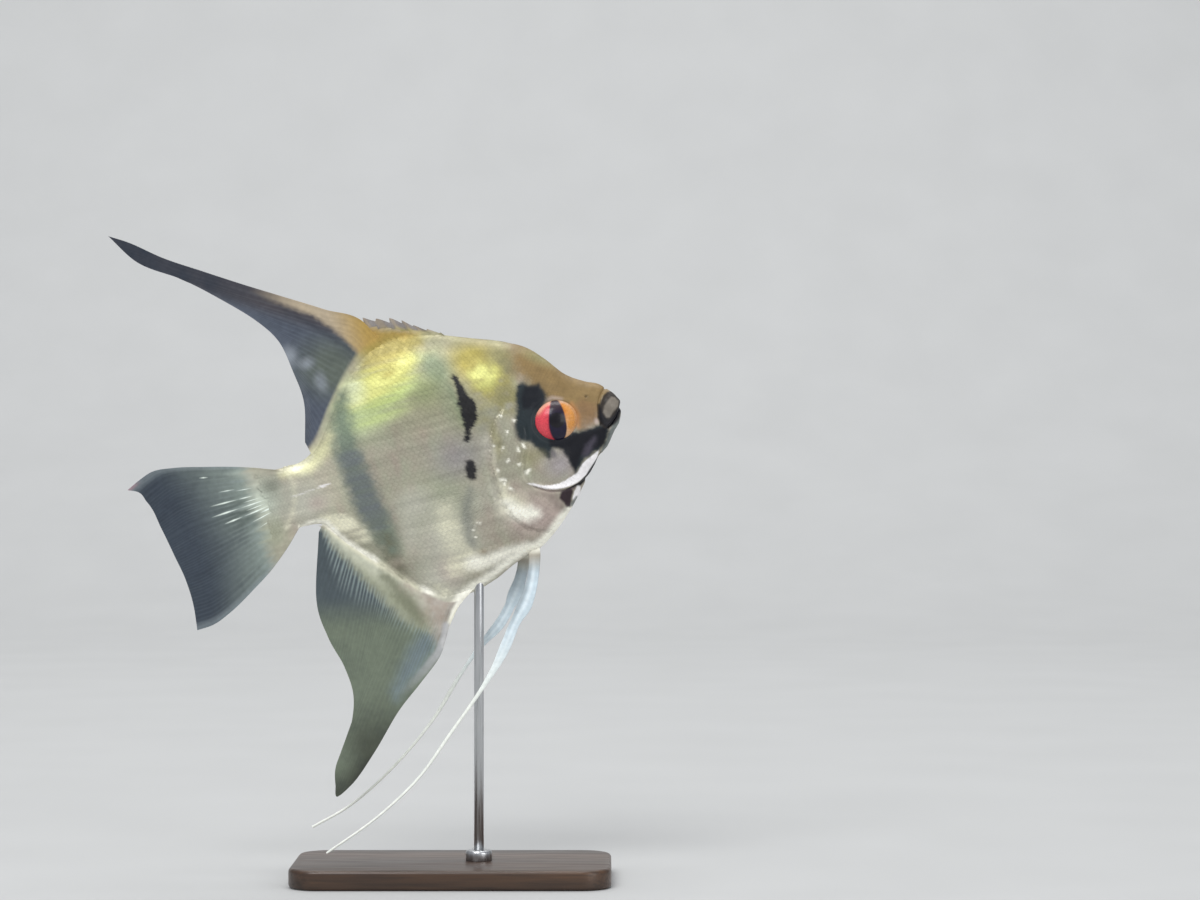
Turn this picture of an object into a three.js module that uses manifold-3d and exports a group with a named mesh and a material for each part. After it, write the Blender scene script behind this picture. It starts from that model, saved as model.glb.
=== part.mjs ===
// A freshwater angelfish as a life-size museum model: the fish hangs nose-up on one short rod over a flat base.
// Millimetres, +Z up. +X is the way the fish faces, +Y its left side. The origin is the centre of the base's underside.
//
// The fish is drawn in its own frame and then pitched nose-up as a whole:
//   u  along the body, 0 at the tail's root and BODY_LENGTH at the snout
//   w  up through the back, 0 on the line from snout to tail root
//   y  sideways, the same as the part's +Y
import * as THREE from "three";
import { mergeVertices } from "three/addons/utils/BufferGeometryUtils.js";
import Module from "manifold-3d";

const wasm = await Module();
wasm.setup();

// ---------------------------------------------------------------- driving dimensions
const BODY_LENGTH = 105; // snout to tail root
const PITCH = THREE.MathUtils.degToRad(16); // nose-up
const GAP = 0.3; // clear space between neighbouring pieces
const SNOUT_ROUND = 2.5; // radius of the snout's tip, seen from the side
const SNOUT_FLAT = 0.02; // the last section stands this far short of the very tip
const SMALLEST_DETAIL = 0.04; // edges and steps below this are melted away

const BASE_LENGTH = 96;
const BASE_WIDTH = 50;
const BASE_HEIGHT = 6;
const BASE_CORNER = 9;
const BASE_BEVEL = 1;
const ROD_RADIUS = 1.5;
const ROD_SIDES = 24;
const ROD_X = 8; // the rod meets the belly ahead of the anal fin
const ROD_DEPTH = 9; // how far the rod goes up into the belly
const COLLAR_RADIUS = 4;
const COLLAR_HEIGHT = 3.2;
const COLLAR_BEVEL = 1.2;
const TAIL_X = -50; // the tail root's place over the base
const TAIL_Z = 115.4; // high enough for the long pelvic fins to clear the base

// The body seen from the side and from above, as [u, value] knots. The curves between them are smooth.
const BACK = [
  [-3, 9.7], [2, 9.5], [7, 9.7], [12, 12.4], [20, 22], [29, 31.6], [36, 36.4], [43, 37.9], [52, 36.8],
  [67, 31.4], [77, 27.2], [83, 23.4], [87, 18.8], [91, 13.4], [96, 9.6], [100.5, 7.2], [103, 4.6], [105, 3.4],
];
const BELLY = [
  [-3, -10.4], [3, -10], [8, -10.9], [14.5, -18.7], [24.5, -30.2], [32, -38.4], [38, -43], [45, -43.3], [53, -41.6],
  [62, -38], [70, -35.7], [79, -29.6], [86, -22.8], [91, -17.2], [97.5, -11.6], [102, -6.4], [105, -3.6],
];
const HALF_WIDTH = [
  [-3, 1.1], [0, 1.9], [6, 3.2], [15, 4.5], [28, 6.3], [42, 8.1], [56, 9.3], [66, 9.7], [76, 9.2],
  [84, 8.1], [92, 6.4], [98, 4.9], [102, 3.9], [105, 3.1],
];
// Where each section is widest, and its shape: 1 is an oval, more has a sharper back and belly.
const WIDEST_LEVEL = [[-3, -0.4], [30, -2.5], [60, -4], [84, -2], [98, -2.4], [105, 0]];
const KEEL = [[-3, 1], [15, 1.3], [45, 1.4], [70, 1.3], [90, 1.08], [105, 0.9]];

const FIN_ROOT_THICK = 2.2;
const FIN_EDGE_THICK = 0.6;
const FIN_ROOT_DEPTH = 2; // how far a fin's root line lies inside the body before it is trimmed

const EYE_AT = { u: 84.4, w: 0, y: 5.4 };
const EYE_RADIUS = 7.4; // of the ball, which the head covers down to a 12 mm ring
const EYE_DEPTH = 4.6; // half the ball's thickness
const EYE_FORWARD_TURN = THREE.MathUtils.degToRad(8);

// ---------------------------------------------------------------- curves and solids
// A smooth function through [x, value] knots: cubic pieces whose slopes come from the knots on both sides.
function smooth(knots) {
  const slope = knots.map(([x, v], i) => {
    const before = knots[Math.max(i - 1, 0)];
    const after = knots[Math.min(i + 1, knots.length - 1)];
    const left = x - before[0];
    const right = after[0] - x;
    const rise = (a, b, run) => (run ? (b - a) / run : 0);
    if (!left) return rise(v, after[1], right);
    if (!right) return rise(before[1], v, left);
    return (rise(before[1], v, left) * right + rise(v, after[1], right) * left) / (left + right);
  });
  return (x) => {
    const last = knots.length - 2;
    const found = knots.findIndex((k, i) => i > 0 && x < k[0]) - 1;
    const i = found < 0 ? (x < knots[0][0] ? 0 : last) : found;
    const [x0, v0] = knots[i];
    const [x1, v1] = knots[i + 1];
    const run = x1 - x0;
    const t = THREE.MathUtils.clamp((x - x0) / run, 0, 1);
    const [a, b] = [t * t * (3 - 2 * t), t * (1 - t)];
    return v0 * (1 - a) + v1 * a + b * ((1 - t) * slope[i] - t * slope[i + 1]) * run;
  };
}

// The same through points [t, u, w], as a curve of t.
function path(knots) {
  const u = smooth(knots.map((k) => [k[0], k[1]]));
  const w = smooth(knots.map((k) => [k[0], k[2]]));
  return (t) => ({ u: u(t), w: w(t) });
}

const point = (u, w, y) => new THREE.Vector3(u, y, w); // fish frame to three.js axes

function toSolid(geometry) {
  const bare = geometry.index ? geometry.toNonIndexed() : geometry.clone();
  bare.deleteAttribute("normal");
  bare.deleteAttribute("uv");
  const merged = mergeVertices(bare, 1e-4);
  const triVerts = [];
  for (let i = 0; i < merged.index.count; i += 3) {
    const [a, b, c] = [0, 1, 2].map((k) => merged.index.getX(i + k));
    if (a !== b && b !== c && c !== a) triVerts.push(a, b, c);
  }
  return new wasm.Manifold(
    new wasm.Mesh({
      numProp: 3,
      vertProperties: merged.attributes.position.array,
      triVerts: new Uint32Array(triVerts),
    }),
  );
}

function toGeometry(solid) {
  const { numProp, numVert, vertProperties, triVerts } = solid.simplify(SMALLEST_DETAIL).getMesh();
  const positions = new Float32Array(numVert * 3);
  for (let i = 0; i < numVert; i++) positions.set(vertProperties.subarray(i * numProp, i * numProp + 3), i * 3);
  const geometry = new THREE.BufferGeometry();
  geometry.setAttribute("position", new THREE.BufferAttribute(positions, 3));
  geometry.setIndex(new THREE.BufferAttribute(triVerts, 1));
  const flat = geometry.toNonIndexed();
  flat.computeVertexNormals();
  return flat;
}

// A closed solid from rings of points that all turn the same way: walls between rings and a fan at each end.
function loft(rings) {
  const corners = [];
  const n = rings[0].length;
  const centre = (ring) => ring.reduce((sum, p) => sum.add(p), new THREE.Vector3()).divideScalar(n);
  rings.slice(1).forEach((ring, k) => {
    const before = rings[k];
    for (let i = 0; i < n; i++) {
      const j = (i + 1) % n;
      corners.push(before[i], before[j], ring[j], before[i], ring[j], ring[i]);
    }
  });
  const [first, last] = [rings[0], rings[rings.length - 1]];
  const [near, far] = [centre(first), centre(last)];
  for (let i = 0; i < n; i++) {
    const j = (i + 1) % n;
    corners.push(near, first[j], first[i], far, last[i], last[j]);
  }
  const solid = toSolid(new THREE.BufferGeometry().setFromPoints(corners));
  return solid.volume() < 0 ? toSolid(new THREE.BufferGeometry().setFromPoints(corners.reverse())) : solid;
}

// A block right through the fish, from an outline of [u, w] points.
const THROUGH = 60;

function prism(outline) {
  const shape = new THREE.Shape(outline.map(([u, w]) => new THREE.Vector2(u, w)));
  const geometry = new THREE.ExtrudeGeometry(shape, { depth: THROUGH, bevelEnabled: false });
  geometry.translate(0, 0, -THROUGH / 2);
  geometry.rotateX(Math.PI / 2);
  return toSolid(geometry);
}

// A cut one GAP wide along an open line of [u, w] points.
function slit(line, width = GAP) {
  const points = line.map(([u, w]) => new THREE.Vector2(u, w));
  const side = points.map((p, i) => {
    const after = points[Math.min(i + 1, points.length - 1)];
    const along = after.clone().sub(points[Math.max(i - 1, 0)]).normalize();
    return new THREE.Vector2(-along.y, along.x).multiplyScalar(width / 2);
  });
  const left = points.map((p, i) => p.clone().add(side[i]).toArray());
  const right = points.map((p, i) => p.clone().sub(side[i]).toArray());
  return prism([...left, ...right.reverse()]);
}

// ---------------------------------------------------------------- the body as a whole
const back = smooth(BACK);
const belly = smooth(BELLY);
const halfWidth = smooth(HALF_WIDTH);
const widestLevel = smooth(WIDEST_LEVEL);
const keel = smooth(KEEL);

// 1 along the body, falling to 0 round the snout's tip.
function snoutRound(u) {
  const past = Math.max(0, u - (BODY_LENGTH - SNOUT_ROUND)) / SNOUT_ROUND;
  return Math.sqrt(Math.max(0, 1 - past * past));
}

// The body's surface at u, turned by angle: -90 degrees is the belly's edge, 90 the back's. grow moves it out.
function bodyPoint(u, angle, grow = 0) {
  const round = snoutRound(u);
  const level = widestLevel(u) * round;
  const edge = angle > 0 ? back(u) : belly(u);
  const reach = Math.abs(edge * round - level) + grow;
  const wide = halfWidth(u) * round * Math.cos(angle) ** keel(u) + grow * Math.cos(angle);
  return { w: level + reach * Math.sin(angle), y: Math.max(wide, 0) };
}

const BODY_STATIONS = 38;
const STATION_CROWDING = 0.9; // stations stand closer together towards the snout
const SECTION_STEPS = 11; // from the belly's edge to the back's, on each side

function bodySolid(grow = 0) {
  const rings = [];
  for (let k = 0; k <= BODY_STATIONS; k++) {
    const share = Math.sin((k / BODY_STATIONS) * Math.PI * 0.5) ** STATION_CROWDING;
    const u = THREE.MathUtils.lerp(BACK[0][0] - grow, BODY_LENGTH - SNOUT_FLAT, share);
    const ring = [];
    for (let i = 0; i <= SECTION_STEPS; i++) {
      const { w, y } = bodyPoint(u, (i / SECTION_STEPS - 0.5) * Math.PI, grow);
      ring.push(point(u, w, i === 0 || i === SECTION_STEPS ? 0 : y));
    }
    for (let i = SECTION_STEPS - 1; i > 0; i--) {
      const p = ring[i];
      ring.push(new THREE.Vector3(p.x, -p.y, p.z));
    }
    rings.push(ring);
  }
  return loft(rings);
}

const body = bodySolid();
const bodyWithGap = bodySolid(GAP);

// ---------------------------------------------------------------- eyes
function eyeBall(side, grow = 0) {
  const geometry = new THREE.SphereGeometry(1, 20, 12);
  geometry.rotateX(Math.PI / 2);
  geometry.scale(EYE_RADIUS + grow, EYE_DEPTH + grow, EYE_RADIUS + grow);
  geometry.rotateZ(-side * EYE_FORWARD_TURN);
  geometry.translate(EYE_AT.u, side * EYE_AT.y, EYE_AT.w);
  return toSolid(geometry);
}

// ---------------------------------------------------------------- head, jaws, gill covers, trunk and tail stalk
// The gill cover's free rear edge, from above to the throat, and its front edge behind the cheek.
const GILL_REAR = [
  [71.5, 8.5], [67, 4], [64.2, -2], [62.8, -9], [62.6, -16], [64.2, -23], [68.2, -28.6], [74.5, -31.6],
];
const GILL_FRONT = [[80.5, -25.4], [76.5, -21.6], [72.8, -16.5], [71.6, -10], [72.4, -2], [74.6, 5]];
const GILL_THICKNESS = 1.6;
// Where the head ends and the trunk starts: down from the nape, on beneath the gill cover and out at the throat.
const HEAD_REAR = [
  [69, 60], [70.5, 20], [72.6, 10], [73, 7], [70.5, 2], [68.3, -3], [67.2, -10], [67.4, -16], [69.5, -22],
  [73, -26.4], [77.6, -28.9], [79.5, -31], [82, -60],
];
const GAPE = [[108, 0], [104.4, -1.6], [99.5, -4.6], [96, -7.2], [92.6, -11.8], [90.4, -17], [89.4, -30]];
const UPPER_JAW_REAR = [[101, 20], [99.2, 8], [96.8, 0], [95.2, -8], [94, -20]];
const STALK_FRONT = [[13, 40], [13, -40]];

const gillOutline = [...GILL_REAR, ...GILL_FRONT];
const gillSeam = slit([...gillOutline, ...gillOutline.slice(0, 2)], 2 * GAP);
const gillPlates = body.intersect(prism(gillOutline)).subtract(bodySolid(-GILL_THICKNESS));
const gillRoom = prism(gillOutline).add(gillSeam).subtract(bodySolid(-GILL_THICKNESS - GAP));
const SIDE_BLOCK = 400; // larger than the fish
const fishSide = (side) =>
  toSolid(new THREE.BoxGeometry(SIDE_BLOCK, SIDE_BLOCK, SIDE_BLOCK).translate(0, side * (SIDE_BLOCK / 2 + GAP), 0));

const eyeRooms = eyeBall(1, GAP).add(eyeBall(-1, GAP));
const withoutSockets = body.subtract(gillRoom).subtract(eyeRooms);
const [frontPart, rearPart] = splitAt(withoutSockets, HEAD_REAR);
const [upperFront, lowerJaw] = splitAt(frontPart, GAPE);
const [upperJaw, head] = splitAt(upperFront, UPPER_JAW_REAR);
const [trunk, stalk] = splitAt(rearPart, STALK_FRONT);

// Cuts a solid in two along a line. The piece that reaches further forward comes first.
// Crumbs under 1 cubic millimetre are dropped.
function splitAt(solid, line) {
  const pieces = solid.subtract(slit(line)).decompose().filter((p) => p.volume() > 1);
  if (pieces.length !== 2) throw new Error(`a cut left ${pieces.length} pieces`);
  return pieces.sort((a, b) => b.boundingBox().max[0] - a.boundingBox().max[0]);
}

// ---------------------------------------------------------------- fins that stand in the fish's middle plane
// A fin is a thin plate spanned by rays that run from its root line to its outer edge, both drawn as curves of t.
// first and last draw its two end rays as curves of s, 0 at the root and 1 at the edge, if they aren't straight.
// It thins from its root to THIN_FROM of a ray's length, and stays thin from there on.
const THIN_FROM = 0.6;

function finSolid({ root, edge, first, last, rays, steps, sway }) {
  const mix = (a, b, s) => ({ u: THREE.MathUtils.lerp(a.u, b.u, s), w: THREE.MathUtils.lerp(a.w, b.w, s) });
  const bend = (ray, t, s) => {
    if (!ray) return { u: 0, w: 0 };
    const [drawn, straight] = [ray(s), mix(root(t), edge(t), s)];
    return { u: drawn.u - straight.u, w: drawn.w - straight.w };
  };
  const sheet = [];
  for (let r = 0; r <= rays; r++) {
    const t = r / rays;
    const row = [];
    for (let k = 0; k <= steps; k++) {
      const s = k / steps;
      const p = mix(root(t), edge(t), s);
      const offset = mix(bend(first, 0, s), bend(last, 1, s), t);
      const thick = THREE.MathUtils.lerp(FIN_ROOT_THICK, FIN_EDGE_THICK, Math.min(1, s / THIN_FROM));
      row.push({ u: p.u + offset.u, w: p.w + offset.w, y: sway(t, s), half: thick / 2 });
    }
    sheet.push(row);
  }
  const at = (r, k, side) => {
    const p = sheet[r][k];
    return point(p.u, p.w, p.y + side * p.half);
  };
  const corners = [];
  const quad = (a, b, c, d) => corners.push(a, b, c, a, c, d);
  for (let r = 0; r < rays; r++) {
    for (let k = 0; k < steps; k++) {
      quad(at(r, k, 1), at(r + 1, k, 1), at(r + 1, k + 1, 1), at(r, k + 1, 1));
      quad(at(r, k, -1), at(r, k + 1, -1), at(r + 1, k + 1, -1), at(r + 1, k, -1));
    }
    quad(at(r, 0, 1), at(r, 0, -1), at(r + 1, 0, -1), at(r + 1, 0, 1));
    quad(at(r, steps, 1), at(r + 1, steps, 1), at(r + 1, steps, -1), at(r, steps, -1));
  }
  for (let k = 0; k < steps; k++) {
    quad(at(0, k, 1), at(0, k + 1, 1), at(0, k + 1, -1), at(0, k, -1));
    quad(at(rays, k, 1), at(rays, k, -1), at(rays, k + 1, -1), at(rays, k + 1, 1));
  }
  const solid = toSolid(new THREE.BufferGeometry().setFromPoints(corners));
  return solid.volume() > 0 ? solid : toSolid(new THREE.BufferGeometry().setFromPoints(corners.reverse()));
}

const largest = (solid) => solid.decompose().sort((a, b) => b.volume() - a.volume())[0];
const onBody = (fin) => largest(fin.subtract(bodyWithGap));

// Dorsal fin: short spines that lengthen backwards, then soft rays sweeping up into one long point.
const DORSAL_ROOT = { front: 61, rear: 11 };
const DORSAL_EDGE = path([
  [0, 61, 34.4], [0.12, 53, 39.6], [0.24, 44.5, 43.4], [0.34, 34.7, 47.2], [0.42, 22, 55.2], [0.47, 2, 68.4],
  [0.5, -30.2, 91], [0.54, -21, 78.6], [0.6, -8, 67.6], [0.68, 4.5, 55.6], [0.76, 10.6, 46.4],
  [0.85, 12, 36], [0.93, 12.2, 26.5], [1, 9.6, 14.4],
]);
const dorsal = onBody(
  finSolid({
    root: (t) => {
      const u = THREE.MathUtils.lerp(DORSAL_ROOT.front, DORSAL_ROOT.rear, t);
      return { u, w: back(u) - FIN_ROOT_DEPTH };
    },
    edge: DORSAL_EDGE,
    rays: 44,
    steps: 5,
    sway: (t, s) => 1.5 * s * s * Math.sin(t * 5),
  }),
);

// Anal fin: the same, below.
const ANAL_ROOT = { front: 46, rear: 9 };
const ANAL_EDGE = path([
  [0, 46, -44.4], [0.12, 40.2, -47.6], [0.24, 35.6, -52], [0.34, 31, -59.2], [0.42, 23.5, -65.4], [0.48, 10, -76],
  [0.53, -10.5, -91.2], [0.57, -8.6, -82.5], [0.64, -1.4, -73.5], [0.7, 2.8, -64], [0.78, 2.6, -54],
  [0.86, 0.2, -44], [0.93, 0, -32], [1, 6.4, -12.4],
]);
const anal = onBody(
  finSolid({
    root: (t) => {
      const u = THREE.MathUtils.lerp(ANAL_ROOT.front, ANAL_ROOT.rear, t);
      return { u, w: belly(u) + FIN_ROOT_DEPTH };
    },
    edge: ANAL_EDGE,
    rays: 40,
    steps: 5,
    sway: (t, s) => -1.2 * s * s * Math.sin(t * 4.5),
  }),
);

// Tail fin: a fan with a short trailing thread at its upper corner.
const TAIL_EDGE = path([
  [0, -46.2, 15.6], [0.03, -43.4, 14.4], [0.1, -41.6, 10.6], [0.3, -39.4, 1.6], [0.5, -37.8, -7], [0.7, -36.4, -15.4],
  [0.88, -36.6, -24], [1, -37.4, -31],
]);
const TAIL_ROOT = path([[0, 1.5, 8.4], [1, 1.5, -9.4]]);
const TAIL_TOP_RAY = path([
  [0, 1.5, 8.4], [0.22, -9.2, 12.5], [0.48, -21.7, 16.2], [0.66, -30.5, 18.4], [0.82, -37.8, 19], [0.9, -41.4, 17.8],
  [1, -46.2, 15.6],
]);
const TAIL_BOTTOM_RAY = path([
  [0, 1.5, -9.4], [0.16, -4.4, -15], [0.3, -10.2, -19.6], [0.48, -17, -23.8], [0.7, -25.8, -28.6], [0.86, -32, -30.9],
  [1, -37.4, -31],
]);
const tail = onBody(
  finSolid({
    root: TAIL_ROOT,
    edge: TAIL_EDGE,
    first: TAIL_TOP_RAY,
    last: TAIL_BOTTOM_RAY,
    rays: 30,
    steps: 9,
    sway: (t, s) => 2.2 * s * s + 0.8 * s * Math.sin(t * 7),
  }),
);

// ---------------------------------------------------------------- paired fins
// A tapering blade along a line of [t, u, w] points; out(t) is its distance from the middle plane.
function blade({ line, out, width, thick, side, steps = 24, sides = 6 }) {
  const rings = [];
  for (let k = 0; k <= steps; k++) {
    const t = k / steps;
    const here = line(t);
    const [a, b] = [line(Math.max(0, t - 0.01)), line(Math.min(1, t + 0.01))];
    const across = new THREE.Vector2(-(b.w - a.w), b.u - a.u).normalize();
    const ring = [];
    for (let i = 0; i < sides; i++) {
      const turn = (i / sides) * 2 * Math.PI;
      const broad = (Math.cos(turn) * width(t)) / 2;
      const flat = (Math.sin(turn) * thick(t)) / 2;
      ring.push(point(here.u + across.x * broad, here.w + across.y * broad, side * out(t) + flat));
    }
    rings.push(ring);
  }
  return loft(rings);
}

// Pelvic fins: a narrow blade that runs out into a long thread, trailing back under the fish.
const PELVIC_RIGHT = path([
  [0, 68.4, -33], [0.08, 65.6, -41.5], [0.18, 61, -50.4], [0.3, 52.4, -61], [0.42, 42, -70.4], [0.56, 28.5, -81.4],
  [0.7, 15.6, -91.6], [0.84, 1, -99.2], [1, -17, -105.6],
]);
const PELVIC_LEFT = path([
  [0, 64.6, -34], [0.08, 60.6, -41.5], [0.18, 54.6, -50], [0.3, 45, -58.4], [0.42, 35.2, -66.2], [0.56, 24.4, -76.2],
  [0.7, 12.4, -84.8], [0.8, 1.9, -90.8], [0.89, -8.3, -95.3], [1, -21.1, -98.5],
]);
const PELVIC_OUT = smooth([[0, 2.2], [0.1, 4.2], [0.3, 6.4], [0.6, 8], [1, 9]]);
const pelvicWidth = smooth([[0, 3], [0.1, 4], [0.2, 4.4], [0.3, 2.6], [0.42, 1.3], [0.6, 0.9], [1, 0.6]]);
const pelvicThick = smooth([[0, 1.6], [0.12, 1.1], [0.3, 0.9], [0.5, 0.8], [1, 0.55]]);

function pelvicFin(side) {
  const line = side < 0 ? PELVIC_RIGHT : PELVIC_LEFT;
  return onBody(blade({ line, out: PELVIC_OUT, width: pelvicWidth, thick: pelvicThick, side }));
}

// Pectoral fins: a small paddle behind each gill cover, standing off the flank.
const PECTORAL_AT = { u: 60.6, w: -16 };
const PECTORAL_LENGTH = 27;
const PECTORAL_OFF_FLANK = THREE.MathUtils.degToRad(24);
const PECTORAL_DROOP = THREE.MathUtils.degToRad(10);
const PECTORAL_SINK = 1.2; // how deep the root sits in the flank
const PECTORAL_CURL = 0.35; // how far the tip bends back towards the flank
const PECTORAL_RAKE = 0.1; // how far the upper edge trails behind the lower
const pectoralHalf = smooth([[0, 2.2], [0.25, 4.6], [0.6, 7.2], [0.85, 6.2], [1, 3.2]]);
const pectoralThick = smooth([[0, 0.7], [1, 0.3]]);

function pectoralFin(side) {
  const level = widestLevel(PECTORAL_AT.u);
  const rootAngle = Math.asin((PECTORAL_AT.w - level) / (level - belly(PECTORAL_AT.u)));
  const rootY = bodyPoint(PECTORAL_AT.u, rootAngle).y - PECTORAL_SINK;
  const rings = [];
  const [steps, sides] = [9, 12];
  for (let k = 0; k <= steps; k++) {
    const s = k / steps;
    const reach = s * PECTORAL_LENGTH;
    const curl = reach * Math.sin(PECTORAL_OFF_FLANK) * (1 - PECTORAL_CURL * s);
    const ring = [];
    for (let i = 0; i < sides; i++) {
      const turn = (i / sides) * 2 * Math.PI;
      const across = Math.cos(turn) * pectoralHalf(s);
      const flat = Math.sin(turn) * pectoralThick(s);
      const u = PECTORAL_AT.u - reach * Math.cos(PECTORAL_OFF_FLANK) - PECTORAL_RAKE * across * s;
      const w = PECTORAL_AT.w + across - reach * Math.sin(PECTORAL_DROOP);
      ring.push(point(u, w, side * (rootY + curl) + flat));
    }
    rings.push(ring);
  }
  return onBody(loft(rings));
}

// ---------------------------------------------------------------- stand
function roundedSlab(length, width, height, corner, bevel) {
  const shape = new THREE.Shape();
  const [x, y] = [length / 2 - bevel, width / 2 - bevel];
  const r = corner - bevel;
  shape.moveTo(-x + r, -y);
  shape.lineTo(x - r, -y);
  shape.absarc(x - r, -y + r, r, -Math.PI / 2, 0);
  shape.lineTo(x, y - r);
  shape.absarc(x - r, y - r, r, 0, Math.PI / 2);
  shape.lineTo(-x + r, y);
  shape.absarc(-x + r, y - r, r, Math.PI / 2, Math.PI);
  shape.lineTo(-x, -y + r);
  shape.absarc(-x + r, -y + r, r, Math.PI, 1.5 * Math.PI);
  const geometry = new THREE.ExtrudeGeometry(shape, {
    depth: height - 2 * bevel,
    curveSegments: 6,
    bevelEnabled: true,
    bevelThickness: bevel,
    bevelSize: bevel,
    bevelSegments: 1,
  });
  geometry.translate(0, 0, bevel);
  return geometry;
}

// The height of the belly's edge above the base's underside, at a place along X: halving finds the u above it.
function bellyHeightAt(x) {
  let [behind, ahead] = [0, BODY_LENGTH];
  for (let i = 0; i < 20; i++) {
    const u = (behind + ahead) / 2;
    const isAhead = TAIL_X + u * Math.cos(PITCH) - belly(u) * Math.sin(PITCH) > x;
    [behind, ahead] = isAhead ? [behind, u] : [u, ahead];
  }
  return TAIL_Z + behind * Math.sin(PITCH) + belly(behind) * Math.cos(PITCH);
}

const rodTop = bellyHeightAt(ROD_X) + ROD_DEPTH;

function rodGeometry(grow = 0) {
  const height = rodTop + grow - BASE_HEIGHT;
  const geometry = new THREE.CylinderGeometry(ROD_RADIUS + grow, ROD_RADIUS + grow, height, ROD_SIDES);
  geometry.rotateX(Math.PI / 2);
  geometry.rotateZ(Math.PI / ROD_SIDES); // no corner on the fish's middle plane
  geometry.translate(ROD_X, 0, BASE_HEIGHT + height / 2);
  return geometry;
}

// The rod's hole, in the fish's own frame.
const rodHole = toSolid(
  rodGeometry(GAP).applyMatrix4(
    new THREE.Matrix4()
      .makeTranslation(TAIL_X, 0, TAIL_Z)
      .multiply(new THREE.Matrix4().makeRotationY(-PITCH))
      .invert(),
  ),
);

const collar = new THREE.LatheGeometry(
  [
    [ROD_RADIUS + GAP, 0], [COLLAR_RADIUS, 0], [COLLAR_RADIUS, COLLAR_HEIGHT - COLLAR_BEVEL],
    [COLLAR_RADIUS - COLLAR_BEVEL, COLLAR_HEIGHT], [ROD_RADIUS + GAP, COLLAR_HEIGHT], [ROD_RADIUS + GAP, 0],
  ].map(([r, z]) => new THREE.Vector2(r, z)),
  ROD_SIDES,
);
collar.rotateX(Math.PI / 2);
collar.translate(ROD_X, 0, BASE_HEIGHT);

// ---------------------------------------------------------------- the scene
const skin = new THREE.MeshStandardMaterial({ color: 0xb9b49a, roughness: 0.38, metalness: 0.1 });
const fin = new THREE.MeshStandardMaterial({ color: 0x7f8a86, roughness: 0.45, metalness: 0 });
const paleFin = new THREE.MeshStandardMaterial({ color: 0xdfe6ea, roughness: 0.4, metalness: 0 });
const eye = new THREE.MeshStandardMaterial({ color: 0xc8402c, roughness: 0.1, metalness: 0 });
const wood = new THREE.MeshStandardMaterial({ color: 0x3b2a20, roughness: 0.5, metalness: 0 });
const steel = new THREE.MeshStandardMaterial({ color: 0xb8bcc0, roughness: 0.3, metalness: 1 });

function node(name, geometry, material) {
  const mesh = new THREE.Mesh(geometry, material);
  mesh.name = name;
  return mesh;
}

const fish = new THREE.Group();
fish.position.set(TAIL_X, 0, TAIL_Z);
fish.rotation.y = -PITCH;
fish.add(
  node("head", toGeometry(head), skin),
  node("upper_jaw", toGeometry(upperJaw), skin),
  node("lower_jaw", toGeometry(lowerJaw), skin),
  node("trunk", toGeometry(largest(trunk.subtract(rodHole))), skin),
  node("tail_stalk", toGeometry(stalk), skin),
  node("dorsal_fin", toGeometry(dorsal), fin),
  node("anal_fin", toGeometry(anal), fin),
  node("tail_fin", toGeometry(tail), fin),
);
for (const [name, side] of [["left", 1], ["right", -1]]) {
  fish.add(
    node(`gill_cover_${name}`, toGeometry(largest(gillPlates.intersect(fishSide(side)))), skin),
    node(`eye_${name}`, toGeometry(eyeBall(side)), eye),
    node(`pectoral_fin_${name}`, toGeometry(pectoralFin(side)), fin),
    node(`pelvic_fin_${name}`, toGeometry(pelvicFin(side)), paleFin),
  );
}

const angelfish = new THREE.Group();
angelfish.add(
  fish,
  node("stand_base", roundedSlab(BASE_LENGTH, BASE_WIDTH, BASE_HEIGHT, BASE_CORNER, BASE_BEVEL), wood),
  node("stand_collar", collar, steel),
  node("stand_rod", rodGeometry(), steel),
);

export default angelfish;
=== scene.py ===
import math

import bpy
import numpy as np
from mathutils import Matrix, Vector


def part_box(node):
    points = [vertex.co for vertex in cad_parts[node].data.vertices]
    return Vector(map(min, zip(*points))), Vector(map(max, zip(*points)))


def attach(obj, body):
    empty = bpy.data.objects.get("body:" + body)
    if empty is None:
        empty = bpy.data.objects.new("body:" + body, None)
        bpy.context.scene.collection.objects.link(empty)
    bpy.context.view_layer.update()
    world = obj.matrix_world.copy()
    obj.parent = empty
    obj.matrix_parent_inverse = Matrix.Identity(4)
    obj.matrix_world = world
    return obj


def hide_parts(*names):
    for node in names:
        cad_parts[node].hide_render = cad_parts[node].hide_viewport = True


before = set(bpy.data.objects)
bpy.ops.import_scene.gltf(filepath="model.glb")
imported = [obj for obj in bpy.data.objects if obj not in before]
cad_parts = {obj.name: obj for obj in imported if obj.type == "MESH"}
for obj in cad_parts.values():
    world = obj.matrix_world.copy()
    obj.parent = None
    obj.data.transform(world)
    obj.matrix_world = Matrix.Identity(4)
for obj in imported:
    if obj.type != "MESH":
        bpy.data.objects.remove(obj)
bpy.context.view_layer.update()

# The looks of a life-size freshwater angelfish on a display stand.
#
# The fish is drawn in its own frame, in millimetres, and then pitched nose-up as a whole:
#   u  along the body, 0 at the tail's root and 105 at the snout
#   w  up through the back, 0 on the line from snout to tail root
#   y  sideways, the same as the model's +Y
# place() takes it into the model's frame, in metres.

# ---------------------------------------------------------------- the fish's frame and shape
MM = 0.001
SIDES = {"left": 1, "right": -1}  # a side's sign on y
TAIL_ROOT_X, TAIL_ROOT_Z = -50.0, 115.4
PITCH = math.radians(16)
LENGTH = 105.0
SNOUT_ROUND = 2.5
COAT = 0.35  # the bare skin lies this far inside the solid body, which leaves room for the scales

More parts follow.
